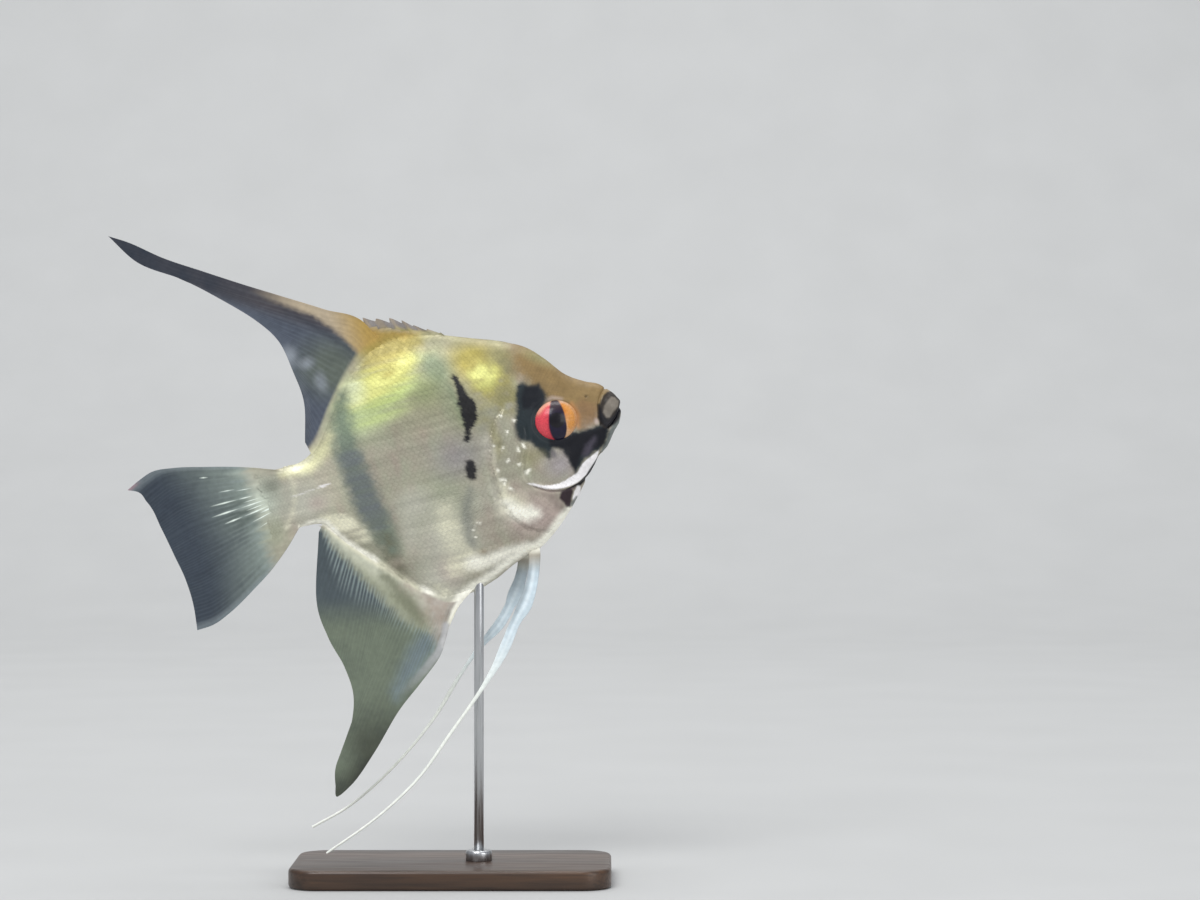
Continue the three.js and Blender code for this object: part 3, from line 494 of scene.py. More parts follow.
def area_mark(outline, u, w, soft, rag):
    """1 inside a closed outline, falling to 0 over soft."""
    gap, _, _ = near(outline + outline[:1], u, w)
    inside = np.zeros(u.shape, bool)
    for (au, aw), (bu, bw) in zip(outline, outline[1:] + outline[:1]):
        crosses = (aw > w) != (bw > w)
        inside ^= crosses & (u < (bu - au) * (w - aw) / ((bw - aw) or 1) + au)
    gap = np.where(inside, -gap, gap)
    return ramp(soft / 2, -soft / 2, gap + rag * rough_noise(u / 1.1, w / 1.1, 13))


def patch(u, w, at, reach, tilt=0.0):
    """A soft oval patch: 1 at its middle, 0 from its edge on. tilt is in degrees."""
    c, s = math.cos(math.radians(tilt)), math.sin(math.radians(tilt))
    du, dw = u - at[0], w - at[1]
    return ramp(1, 0, np.hypot((du * c + dw * s) / reach[0], (dw * c - du * s) / reach[1]))


def markings(u, w):
    """The fish's colour at a place on its side, and how silvery it is there."""
    grid = u.shape
    u, w = u.ravel(), w.ravel()
    blotch = rough_noise(u / 7, w / 4, 21)
    streak = rough_noise(u / 13, (w + 0.03 * u) / 1.3, 25)
    mottle = rough_noise(u / 2.4, w / 2.0, 27)
    colour = mix(SILVER, SILVER_WARM, 0.6 + 0.9 * blotch)
    colour = mix(colour, SILVER_GREEN, 0.4 + 0.5 * rough_noise(u / 2.5, w / 8, 23))
    for kind, tint, strength, *form in PAINT:
        if "patch" in kind:
            amount = patch(u, w, *form)
        else:
            soft, rag, shape = form
            amount = np.zeros(u.shape)
            low, high = np.min(shape, 0)[:2] - 8 - soft, np.max(shape, 0)[:2] + 8 + soft
            close = (u > low[0]) & (u < high[0]) & (w > low[1]) & (w < high[1])
            amount[close] = (line_mark if "line" in kind else area_mark)(shape, u[close], w[close], soft, rag)
        broken = 0.9 * streak if "streaky" in kind else 1.3 * mottle if "mottled" in kind else 0
        colour = mix(colour, tint, amount * (1 + broken) * strength)
    # Painted highlights: each glint an oval of its own stretch and lean, with a ragged edge.
    for gu, gw, size in GLINTS:
        tall, lean = 0.7 + 1.1 * hash2(gu, gw, 51), 1.4 * hash2(gu, gw, 52) - 0.7
        gap = np.hypot((u - gu + lean * (w - gw)) * tall, (w - gw) / tall)
        colour = mix(colour, BRIGHT, ramp(size + 0.3, size * 0.4, gap + 0.25 * noise(u * 2, w * 2, 53)))
    grain = 0.15 * streak * ramp(74, 62, u) + 0.04 * blotch + 0.14 * mottle * ramp(56, 64, u)
    colour = colour * (1 + grain)[:, None]
    silver = 0.25 * ramp(0.06, 0.3, colour.mean(-1)) * ramp(88, 76, u)
    return colour.reshape(grid + (3,)), silver.reshape(grid)


# ---------------------------------------------------------------- meshes and materials
CREASE = math.radians(50)


def outward(points, faces):
    """The faces of a closed shape, turned over if they face inwards."""
    middle = points.mean(0)
    volume = 0.0
    for group in faces:
        for k in range(1, group.shape[1] - 1):
            a, b, c = (points[group[:, i]] - middle for i in (0, k, k + 1))
            volume += np.einsum("ij,ij->", a, np.cross(b, c))
    return faces if volume > 0 else [group[:, ::-1] for group in faces]


def make_mesh(name, points, faces, paint=None, uv=None, material=None, closed=True):
    """An object from points in metres and a list of face arrays, smooth but for edges sharper than CREASE."""
    mesh = bpy.data.meshes.new(name)
    points = points.reshape(-1, 3)
    if closed:
        faces = outward(points, faces)
    corners = np.concatenate([f.ravel() for f in faces]).astype(np.int32)
    counts = np.concatenate([np.full(len(f), f.shape[1]) for f in faces])
    mesh.vertices.add(len(points))
    mesh.vertices.foreach_set("co", points.astype(np.float32).ravel())
    mesh.loops.add(len(corners))
    mesh.loops.foreach_set("vertex_index", corners)
    mesh.polygons.add(len(counts))
    mesh.polygons.foreach_set("loop_start", np.concatenate([[0], np.cumsum(counts)[:-1]]).astype(np.int32))
    mesh.polygons.foreach_set("use_smooth", np.full(len(counts), True))
    mesh.update(calc_edges=True)
    if paint is not None:
        layer = mesh.color_attributes.new("Paint", "FLOAT_COLOR", "POINT")
        layer.data.foreach_set("color", paint.reshape(-1, 4).astype(np.float32).ravel())
    if uv is not None:
        layer = mesh.uv_layers.new(name="OFBake")
        layer.data.foreach_set("uv", uv.reshape(-1, 2)[corners].astype(np.float32).ravel())
    mesh.validate()
    mesh.set_sharp_from_angle(angle=CREASE)
    piece = bpy.data.objects.new(name, mesh)
    bpy.context.scene.collection.objects.link(piece)
    if material:
        mesh.materials.append(material)
    return piece


def quads(rows, columns, wrap_rows=False, wrap_columns=False):
    """Faces of a grid of points stored row by row."""
    i = np.arange(rows if wrap_rows else rows - 1)[:, None]
    j = np.arange(columns if wrap_columns else columns - 1)[None, :]
    i2, j2 = (i + 1) % rows, (j + 1) % columns
    face = [i * columns + j, i * columns + j2, i2 * columns + j2, i2 * columns + j]
    return np.stack(np.broadcast_arrays(*face), -1).reshape(-1, 4)


def tube(rings, ends=None):
    """Points and faces of rings of points, closed at each end by a fan round one of the ends."""
    count, sides = rings.shape[:2]
    ends = rings[[0, -1]].mean(1) if ends is None else ends
    first = np.arange(sides)
    last = first + (count - 1) * sides
    start = np.stack([np.full(sides, count * sides), np.roll(first, -1), first], -1)
    end = np.stack([np.full(sides, count * sides + 1), last, np.roll(last, -1)], -1)
    return np.concatenate([rings.reshape(-1, 3), ends]), [quads(count, sides, wrap_columns=True), start, end]


def ringed(paint):
    """Colours of a tube's rings, with one more for each end."""
    return np.concatenate([paint.reshape(-1, 4), paint[[0, -1]].mean(1)])


def outline_of(grid):
    """The indices round the outside of a grid of them."""
    return np.concatenate([grid[0, :-1], grid[:-1, -1], grid[-1, :0:-1], grid[:0:-1, 0]])


class Shader:
    """A material around one Principled shader. Same-everywhere values go straight onto its sockets."""

    def __init__(self, name, **values):
        self.material = bpy.data.materials.new(name)
        self.material.use_nodes = True
        self.nodes, self.links = self.material.node_tree.nodes, self.material.node_tree.links
        self.main = self.nodes["Principled BSDF"]
        for key, value in values.items():
            self.main.inputs[key.replace("_", " ")].default_value = value

    def node(self, kind, inputs=(), **settings):
        node = self.nodes.new("ShaderNode" + kind)
        for key, value in settings.items():
            setattr(node, key, value)
        for key, value in dict(inputs).items():
            if isinstance(value, bpy.types.NodeSocket):
                self.links.new(value, node.inputs[key])
            else:
                node.inputs[key].default_value = value
        return node

    def drive(self, socket, output):
        self.links.new(output, self.main.inputs[socket])

    def place(self, scale=(1, 1, 1)):
        where = self.node("TexCoord").outputs["Object"]
        return self.node("Mapping", {"Vector": where, "Scale": scale}).outputs["Vector"]

    def noise(self, size_mm, detail=3.0, stretch=(1, 1, 1)):
        inputs = {"Vector": self.place(stretch), "Scale": 1 / (size_mm * MM), "Detail": detail}
        return self.node("TexNoise", inputs).outputs["Fac"]

    def spread(self, value, low, high, start=0.3, end=0.7):
        inputs = {"Value": value, "From Min": start, "From Max": end, "To Min": low, "To Max": high}
        return self.node("MapRange", inputs).outputs["Result"]

    def shade(self, colour, factor):
        """Colour made lighter or darker by factor, 1 leaving it alone."""
        grey = self.node("CombineXYZ", {0: factor, 1: factor, 2: factor}).outputs[0]
        return self.node("VectorMath", {0: colour, 1: grey}, operation="MULTIPLY").outputs["Vector"]

    def between(self, value, low, high):
        """A colour that runs from low to high with a noise."""
        node = self.node("ValToRGB", {"Fac": value})
        for stop, position, colour in zip(node.color_ramp.elements, (0.3, 0.72), (low, high)):
            stop.position, stop.color = position, (*colour, 1)
        return node.outputs["Color"]

    def bump(self, height, depth_mm, strength=1.0):
        inputs = {"Height": height, "Distance": depth_mm * MM, "Strength": strength}
        return self.node("Bump", inputs).outputs["Normal"]


def painted_material(name, gloss, tone, rough, alpha=None, bump=None):
    """A material in the colours of Paint. gloss is its coat, the coat's roughness and the IOR. tone and rough
    are a range and a noise, as size in mm and detail; bump is a depth in mm, a strength and a noise. alpha
    names the socket that Paint's alpha drives."""
    s = Shader(name, Coat_Weight=gloss[0], Coat_Roughness=gloss[1], IOR=gloss[2])
    paint = s.node("Attribute", attribute_name="Paint")
    s.drive("Base Color", s.shade(paint.outputs["Color"], s.spread(s.noise(*tone[2:]), *tone[:2])))
    if alpha:
        s.drive(alpha, paint.outputs["Alpha"])
    s.drive("Roughness", s.spread(s.noise(*rough[2:]), *rough[:2]))
    if bump:
        s.drive("Normal", s.bump(s.noise(*bump[2:]), *bump[:2]))
    return s.material


def wood_material():
    s = Shader("dark_walnut", Coat_Weight=0.25, Coat_Roughness=0.22, IOR=1.48)
    grain = s.noise(9, 6, (0.07, 1, 1))
    pores = s.noise(0.9, 2, (0.05, 1, 1))
    colour = s.between(grain, (0.018, 0.009, 0.005), (0.085, 0.042, 0.02))
    s.drive("Base Color", s.shade(colour, s.spread(pores, 0.7, 1.1, 0.35, 0.6)))
    s.drive("Roughness", s.spread(pores, 0.5, 0.34))
    s.drive("Normal", s.bump(pores, 0.06, 0.5))
    return s.material


def steel_material():
    s = Shader("brushed_steel", Metallic=1.0, IOR=2.5)
    brushing = s.noise(0.5, 2, (1, 1, 0.04))
    s.drive("Base Color", s.between(brushing, (0.46, 0.47, 0.48), (0.58, 0.59, 0.6)))
    s.drive("Roughness", s.spread(brushing, 0.24, 0.4))
    s.drive("Normal", s.bump(brushing, 0.01, 0.3))
    return s.material


def floor_material():
    s = Shader("pale_floor", IOR=1.3)
    s.drive("Base Color", s.between(s.noise(60), (0.49, 0.495, 0.49), (0.51, 0.515, 0.51)))
    s.drive("Roughness", s.spread(s.noise(30), 0.75, 0.85))
    return s.material


SKIN = painted_material(
    "angelfish_skin", gloss=(0.08, 0.2, 1.3), tone=(0.9, 1.08, 1.1), rough=(0.36, 0.52, 2.5),
    alpha="Metallic", bump=(0.05, 0.6, 0.35, 4),
)
SCALES = painted_material(
    "angelfish_scales", gloss=(0.1, 0.25, 1.32), tone=(0.93, 1.06, 0.5), rough=(0.3, 0.46, 1.6),
    alpha="Metallic",
)
FIN = painted_material(
    "angelfish_fin", gloss=(0.06, 0.25, 1.3), tone=(0.92, 1.08, 1.4), rough=(0.38, 0.55, 2),
    alpha="Alpha", bump=(0.03, 0.5, 0.3, 3),
)
EYE_GLASS = painted_material(
    "angelfish_eye", gloss=(0.35, 0.16, 1.3), tone=(0.85, 1.15, 0.4, 2), rough=(0.3, 0.42, 0.7),
)
WOOD, STEEL, FLOOR = wood_material(), steel_material(), floor_material()


def keep(piece, slot, *nodes):
    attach(piece, "root")
    if nodes:
        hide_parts(*nodes)
    return piece


# ---------------------------------------------------------------- the skin
SKIN_STATIONS = 330
SKIN_START, SKIN_END = -2.9, LENGTH - 0.03
SKIN_SPACING = smooth([(0, 0), (0.3, 0.44), (0.55, 0.68), (0.9, 0.965), (1, 1)])
SKIN_RING = 144  # steps from the belly's edge to the back's, on each side
FLESH_NODES = ("head", "upper_jaw", "lower_jaw", "gill_cover_left", "gill_cover_right", "trunk", "tail_stalk")


def body_section(u, angle):
    """The plain body's w and y at u, turned by angle from its widest level."""
    past = np.maximum(0, u - (LENGTH - SNOUT_ROUND)) / SNOUT_ROUND
    shrink = np.sqrt(np.maximum(0, 1 - past * past))
    level = widest_level(u) * shrink
    edge = np.where(angle > 0, back(u), belly(u)) * shrink
    w = level + np.abs(edge - level) * np.sin(angle)
    return w, half_width(u) * shrink * np.maximum(np.cos(angle), 0) ** keel(u)


def build_skin():
    """One closed skin over all the flesh, finest on the head, where its stations stand closest."""
    share = np.linspace(0, 1, SKIN_STATIONS)
    u = SKIN_START + (SKIN_END - SKIN_START) * SKIN_SPACING(share)
    x = np.linspace(-1, 1, SKIN_RING + 1)
    angle = 0.45 * x * math.pi / 2 + 0.55 * np.arcsin(x)
    u, angle = np.meshgrid(u, angle, indexing="ij")
    w, y = body_section(u, angle)

    at = np.stack([u, w, y], -1)
    normal = np.cross(np.gradient(at, axis=1), np.gradient(at, axis=0))
    normal[:, [0, -1], 2] = 0
    normal /= np.linalg.norm(normal, axis=-1, keepdims=True) + 1e-12
    normal *= np.sign((normal * (at - [50, 0, 0]))[..., 1:].sum(-1, keepdims=True))
    normal[-1] = (1, 0, 0)
    at = at + normal * (relief(u, w) - COAT)[..., None]
    at[:, [0, -1], 2] = 0

    paint = rgba(*markings(u, w))
    right, left = at.copy(), at[:, -2:0:-1].copy()
    right[..., 2] *= -1
    points, faces = tube(np.concatenate([right, left], 1))
    paint = np.concatenate([paint, paint[:, -2:0:-1]], 1)
    piece = make_mesh("skin", place(*points.T), faces, ringed(paint), material=SKIN)
    keep(piece, "skin", *FLESH_NODES)


# ---------------------------------------------------------------- the scales
SCALE_ROWS = 62  # rows from the middle down or up, more than the fish has room for
SHEATH_THICK = 1.05  # half the thickness of a fin's fleshy root
SHEATH_BLEND = 0.35  # how softly it joins the body
TAIL_SCALES = -6.5  # the last scales reach this far onto the tail fin
ROW_PITCH = 1.12
ROW_SLOPE = 0.04  # how steeply the rows rise towards the tail
PITCH_ALONG = smooth([  # from one scale of a row to the next, by u
    (-8, 1.05), (0, 1.15), (10, 1.4), (30, 1.6), (55, 1.55), (70, 1.2), (80, 0.92), (92, 0.8),
])
SCALE_LONG, SCALE_WIDE = 2.05, 0.96  # a scale's length and half width, against the pitches
SCALE_STEPS = 5  # points along a scale, and across it
EYE_CLEAR = (7.0, 9.0)  # scales grow from nothing to full between these distances from the eye's middle
SCALES_END = 92  # no row reaches farther ahead
BACK_TOP, BELLY_LOW = 38, -43  # about the fish's highest and lowest levels
MAP_START, MAP_LENGTH, MAP_TURN = -10, 120, 1.85  # what the unrolled skin's map covers
MAP_SCALE = (0.003, 0.0015)  # a scale's length and half width on that map
COAT_PARTS = {"rear": (TAIL_SCALES - 1, 34), "middle": (34, 58), "front": (58, SCALES_END + 1)}  # from u to u


def flank(u, w):
    """Half the fish's width at a place on its side, out over the fins' fleshy roots."""
    level = widest_level(u)
    edge = np.where(w > level, back(u), belly(u))
    sine = np.clip((w - level) / (edge - level), 0, 1)
    body = half_width(u) * np.sqrt(1 - sine * sine) ** keel(u)
    beyond = np.maximum(w - back(u), belly(u) - w)
    fleshy = np.where(w > level, dorsal_sheath(u), anal_sheath(u)) + ramp(6, 2, u) * 3
    sheath = (SHEATH_THICK - 0.07 * np.maximum(beyond, 0)) * ramp(0, 1.5, fleshy)
    sheath = np.maximum(sheath, 0.1)
    return np.logaddexp(body / SHEATH_BLEND, sheath / SHEATH_BLEND) * SHEATH_BLEND


def raised(u, w, lift):
    """The point lifted off the flank along its normal, as u, w and y on the left side."""
    y, e = flank(u, w), 0.15
    slope_u = (flank(u + e, w) - flank(u - e, w)) / (2 * e)
    slope_w = np.clip((flank(u, w + e) - flank(u, w - e)) / (2 * e), -2.5, 2.5)
    size = np.sqrt(1 + slope_u**2 + slope_w**2)
    lift = (lift + relief(u, w) - COAT) / size
    return u - slope_u * lift, w - slope_w * lift, np.maximum(y + lift, 0.05)


def row_height(u, row):
    """A scale row's level at u. Rows draw together a little where the back and belly do, and more ahead."""
    edge = np.where(row > 0, back(u) / BACK_TOP, belly(u) / BELLY_LOW)
    level = row - ROW_SLOPE * (u - 45) * ramp(80, 60, u)
    return level * np.clip(edge, 0.1, 1) ** (0.25 + 0.4 * ramp(52, 76, u))


def skin_map(u, w):
    """Where a place on the side lies on the unrolled skin, 0 to 1 each way."""
    level = widest_level(u)
    edge = np.where(w > level, back(u), belly(u))
    sine = (w - level) / np.abs(edge - level)
    turn = np.arcsin(np.clip(sine, -1, 1)) / (math.pi / 2) + np.clip(np.abs(sine) - 1, 0, 0.8) * np.sign(sine)
    return np.stack([(u - MAP_START) / MAP_LENGTH, (turn + MAP_TURN) / (2 * MAP_TURN)], -1)


def scaled_edges(u):
    """The highest and lowest level that scales reach at u."""
    top = back(u) + dorsal_sheath(u)
    low = belly(u) - anal_sheath(u)
    onto_tail = u < 1.5
    return np.where(onto_tail, 8.6 - 0.3 * u, top), np.where(onto_tail, -9.4 + 0.9 * u, low)


def behind_gill(u, w):
    """How far a place lies behind the gill cover's edge, negative on the head."""
    gap, side, along = near(GILL_EDGE, u, w)
    beside = (along > 0.01) & (along < 0.99)
    return np.where(beside, -gap * side, np.where(w > 0, 5, 74.5 - u))


def scale_size(u, w):
    """1 where scales are full grown, falling to 0 at the eye, snout, jaw, gill cleft and outer edges."""
    size = ramp(*EYE_CLEAR, eye_gap(u, w)) * ramp(91, 85, u - 0.1 * w)
    gap, side, _ = near(JAW_EDGE, u, w)
    size = size * np.where((u > 70) & (gap * side > 0), ramp(0.8, 2.0, gap), 1)
    size = size * np.where((u > 70) & (gap * side <= 0), ramp(79, 75, u) * ramp(1, 2.5, gap), 1)
    size = size * ramp(0.25, 0.7, np.abs(behind_gill(u, w)))
    size = size * ramp(0.5, 1.6, near(ANAL_RIDGE, u, w)[0])
    size = size * ramp(2.0, 0.9, np.abs(flank(u, w + 0.4) - flank(u, w - 0.4)) / 0.8)
    top, low = scaled_edges(u)
    size = size * ramp(-0.1, 1.5, top - w) * ramp(0.1, 2.2, w - low)
    return size * ramp(TAIL_SCALES, TAIL_SCALES + 4.5, u + 1.6 * noise(w / 1.3, 0 * w, 33))


def scale_roots():
    """Staggered rows of root places over the side: u, w, the row, the size, the row's slope and the pitch."""
    steps = [TAIL_SCALES]
    while steps[-1] < SCALES_END:
        steps.append(steps[-1] + float(PITCH_ALONG(steps[-1])))
    steps = np.array(steps)
    rows, columns = np.meshgrid(np.arange(-SCALE_ROWS, SCALE_ROWS), np.arange(len(steps) - 1), indexing="ij")
    share = (rows % 2) * 0.5 + 0.08 * (hash2(rows, columns, 31) - 0.5)
    u = (steps[columns] * (1 - share) + steps[columns + 1] * share).ravel()
    row = (rows * ROW_PITCH).ravel()
    w = row_height(u, row) + 0.06 * (hash2(rows, columns, 32).ravel() - 0.5)
    size = scale_size(u, w)
    ok = size > 0.2
    slope = (row_height(u + 1, row) - row_height(u - 1, row)) / 2
    pitch = (row_height(u, row + ROW_PITCH) - row_height(u, row - ROW_PITCH)) / 2
    return (v[ok][:, None] for v in (u, w, row, size, np.arctan(slope), pitch))


def build_coat():
    """One scale is a small tongue, rooted under the scale ahead of it, and round and lifted at its rear."""
    n = SCALE_STEPS
    a, b = np.meshgrid(np.linspace(0, 1, n), np.linspace(-1, 1, n), indexing="ij")
    back_along = (a * (1 - 0.3 * b * b)).ravel()
    across = (b * (0.82 + 0.2 * np.sin(a * math.pi * 0.75))).ravel()
    lift = (-0.08 + 0.15 * a + 0.07 * (1 - b * b) * np.sin(0.3 + a * math.pi * 0.6)).ravel()
    # Painted shade: each scale is darker towards its sides and its rear edge, and a little darker underneath.
    shade = (1.03 - 0.11 * np.abs(b) ** 4 - 0.1 * a**6).ravel()
    grid = np.arange(n * n).reshape(n, n)
    rim = outline_of(grid)
    under = np.stack([np.full(len(rim), n * n), np.roll(rim, -1), rim], -1)
    back_along, across = np.append(back_along, 0.5), np.append(across, 0)
    lift, shade = np.append(lift, -0.09), np.append(shade, 0.95)

    u, w, row, size, slope, pitch = scale_roots()
    reach = 0.72 + 0.28 * size
    long = PITCH_ALONG(u) * SCALE_LONG * reach
    ahead, aside = -back_along * long, across * pitch * SCALE_WIDE * reach
    at_u = u + ahead * np.cos(slope) - aside * np.sin(slope)
    at_w = w + ahead * np.sin(slope) + aside * np.cos(slope)
    top, low = scaled_edges(at_u)
    at_w = np.clip(at_w, low + 0.1, top - 0.1)
    points = np.stack(raised(at_u, at_w, lift * reach * PITCH_ALONG(u) / 1.5 - 0.07 * (1 - size)), -1)
    colour, silver = markings(at_u, at_w)
    tone = 1 + 0.06 * (hash2(np.round(u * 7), np.round(w * 7), 5) - 0.5) + 0.06 * noise(u / 12, row * 0.8, 6)
    paint = rgba(colour * (shade * tone)[..., None], silver)
    tongue = np.stack([(back_along - 0.5) * MAP_SCALE[0] + 0 * u, across * MAP_SCALE[1] + 0 * u], -1)
    uv = skin_map(u, w) + tongue
    for part, (start, end) in COAT_PARTS.items():
        chosen = (u[:, 0] >= start) & (u[:, 0] < end)
        count = chosen.sum()
        first = (np.arange(count) * (n * n + 1))[:, None, None]
        tops = (quads(n, n)[None] + first).reshape(-1, 4)
        unders = (under[None] + first).reshape(-1, 3)
        for name, side in SIDES.items():
            at = place(points[chosen, :, 0], points[chosen, :, 1], side * points[chosen, :, 2])
            piece = make_mesh(f"scales_{part}_{name}", at, [tops, unders], paint[chosen], uv[chosen], SCALES)
            keep(piece, "skin")
        print(f"scales_{part}: {count} scales a side, {len(tops) * 2 + len(unders)} triangles")


# ---------------------------------------------------------------- fins
def plate(name, mid, half, paint):
    """A closed thin plate, half on each side of a grid of middle points in the fish's frame."""
    rows, columns = mid.shape[:2]
    n = rows * columns
    offset = half[..., None] * np.array((0, 0, 1))
    points = np.concatenate([(mid + offset).reshape(-1, 3), (mid - offset).reshape(-1, 3)])
    face = quads(rows, columns)
    rim = outline_of(np.arange(n).reshape(rows, columns))
    wall = np.stack([rim, np.roll(rim, -1), np.roll(rim, -1) + n, rim + n], -1)
    faces = [face, face[:, ::-1] + n, wall[:, ::-1]]
    return make_mesh(name, place(*points.T), faces, np.concatenate([paint.reshape(-1, 4)] * 2), material=FIN)


def span(root, edge, first, last, t, s):
    """The fin's points on a grid of t along its root and s out along its rays, between two drawn end rays."""
    t, s = t[:, None], s[None, :]
    (ru, rw), (eu, ew) = root(t), edge(t)
    grid = []
    for k, (r, e) in enumerate(((ru, eu), (rw, ew))):
        r0, e0, r1, e1 = r[:1], e[:1], r[-1:], e[-1:]
        straight = r * (1 - s) + e * s
        bend_first = first(s)[k] - (r0 * (1 - s) + e0 * s) if first else 0
        bend_last = last(s)[k] - (r1 * (1 - s) + e1 * s) if last else 0
        grid.append(straight + (1 - t) ** 2 * bend_first + t**2 * bend_last)
    return grid


def ray_ridge(t, s, rays, forks=(0.45, 0.75)):
    """1 on a ray and 0 between rays. Each ray forks in two at each of forks, as shares of its length."""
    turn = (t * rays + 0.16 * noise(t * rays * 1.7, 0 * t, 84)) * 2 * math.pi
    ridge = 0.5 + 0.5 * np.cos(turn)
    for count, start in zip((2, 4), forks):
        finer = 0.5 + 0.5 * np.cos(turn * count)
        turned = ramp(start, start + 0.14, s + 0.05 * noise(t * rays, 0 * t, 81))
        ridge = ridge * (1 - turned) + finer * turned
    return ridge**1.6


def build_fin(name, nodes, outline, counts, half, sway, colour, forks=(0.45, 0.75), rib=0.1, scallop=0):
    """One fin as a ribbed plate. outline is its root, edge and end rays; counts are its rays, the points for
    each, and the points along it. scallop cuts its outer edge back after each ray, as a saw's."""
    rays, per_ray, steps = counts
    t, s = np.linspace(0, 1, rays * per_ray + 1), np.linspace(0, 1, steps)
    u, w = span(*outline, t, s)
    t, s = np.broadcast_arrays(t[:, None], s[None, :])
    ridge = ray_ridge(t, s, rays, forks)
    tooth, behind = np.divmod(t * rays * 0.9999 + 0.0001, 1)
    cut = scallop * (0.6 + 0.8 * hash2(tooth, 0, 41)) * s * 1.4 * ramp(0, 0.3, behind) * (1 - behind) ** 1.3
    u, w = u + (u[:, :1] - u) * cut, w + (w[:, :1] - w) * cut
    mid = np.stack([u, w, sway(t, s)], -1)
    thick = half(s) * (1 - rib + rib * ridge)
    piece = plate(name, mid, thick, colour(u, w, t, s, ridge))
    keep(piece, "fin", *nodes)


LEAD_BROWN, FIN_SLATE, FIN_GREEN, FIN_CLOUD = inks("464144", "505764", "5f675f", "979ea6")
FIN_PALE, FIN_DARK, SPINE_BEIGE, SPINE_GREY = inks("8d979b", "2b323d", "b3a48c", "857d78")
ANAL_GREEN, ANAL_BLUE, ANAL_RAY, SHEATH_OLIVE = inks("737d6c", "7a8b9a", "93a19f", "8a8e76")
ANAL_SLATE, ANAL_DUSK, SHEATH_PALE, SHEATH_DARK = inks("505a5e", "40443a", "c2c4b0", "70735e")
EDGE_MAUVE, TAIL_OLIVE, TAIL_SLATE, TAIL_TIP = inks("b4b4b6", "8c9890", "3a434e", "d0a0a8")
TAIL_STREAK, PELVIC_WHITE, PELVIC_BLUE, PELVIC_SHADE_GREY = inks("454f48", "dde9ee", "9bb4c4", "8d979c")
THREAD_WHITE, FLESH = inks("f4f6ec", "bdb5aa")


def off_body(u, w):
    """How far a place on a fin lies outside the body's edge."""
    return np.maximum(w - back(u), belly(u) - w)


# Places on the fins that their colours follow: outlines, lines (LEAD) and patches (CLOUDS).
DORSAL_LEAD = [(38, 42), (30, 49), (16, 58.5), (-5.8, 73), (-25, 88)]
DORSAL_CLOUDS = [((12.6, 41), (4, 5)), ((17, 37.5), (4, 3)), ((19.6, 31), (3, 5))]
DORSAL_SHADE = [(30.5, 38), (27.5, 43), (21, 50), (15, 54.5), (20, 49), (26, 42)]
DORSAL_BAND = [
    (46, 37), (38, 36.5), (33.2, 35), (31.5, 38.8), (28.4, 44), (22.7, 51), (6, 62.5), (8, 65), (18, 58.4),
    (27, 53), (37, 46), (45, 42), (55, 38), (58, 35),
]
ANAL_LEAD = [(35.6, -50.4), (34.2, -53.6), (31, -57.6), (26.4, -61), (17.8, -66.3), (2, -82.3)]
ANAL_FLESH = [
    (27, -35), (30.2, -39), (30.8, -44), (31.6, -49), (32.4, -53.4), (35, -52), (38.6, -47), (44, -43),
    (45, -38), (34.9, -35.1),
]
ANAL_OLIVE = [
    (21.6, -28.6), (25, -32), (27.4, -36), (29.4, -40.6), (30.4, -45), (29.8, -48.6), (27, -46.6),
    (24.6, -41.5), (22.4, -35.4), (20.4, -30.6),
]
ANAL_FLANK = [  # the scaly, pale part under the body's edge
    (5, -8), (8, -10.5), (9.6, -17.6), (12.4, -23.3), (15.2, -29.7), (19.4, -37.2), (22.6, -43.4),
    (26.6, -48), (31, -51), (34, -44), (31, -34), (24.4, -26), (17, -17), (10, -7),
]
ANAL_PATCH = [
    (32.2, -51.4), (29.2, -56.5), (24.9, -61.2), (19.6, -64.1), (14.8, -67.9), (14.4, -64.6), (18.4, -59.6),
    (23, -53.8), (28, -51),
]
TAIL_RAYS = 13
TAIL_GLINTS = [  # painted highlights along the tail's rays: ray, start and end along it, half width in rays
    (1.2, 0.52, 0.58, 0.05), (4, 0.38, 0.6, 0.07), (4, 0.27, 0.385, 0.07), (5, 0.39, 0.62, 0.08),
    (5, 0.19, 0.39, 0.08), (6, 0.4, 0.55, 0.08), (6, 0.18, 0.39, 0.09), (6.4, 0.13, 0.27, 0.12),
    (2.8, 0.38, 0.5, 0.04), (7, 0.16, 0.35, 0.06), (3, 0.25, 0.38, 0.04), (8, 0.14, 0.32, 0.04),
    (4.5, 0.22, 0.36, 0.05), (5.5, 0.2, 0.36, 0.06),
]
GLINT_WHITE = ink("eef8ee")


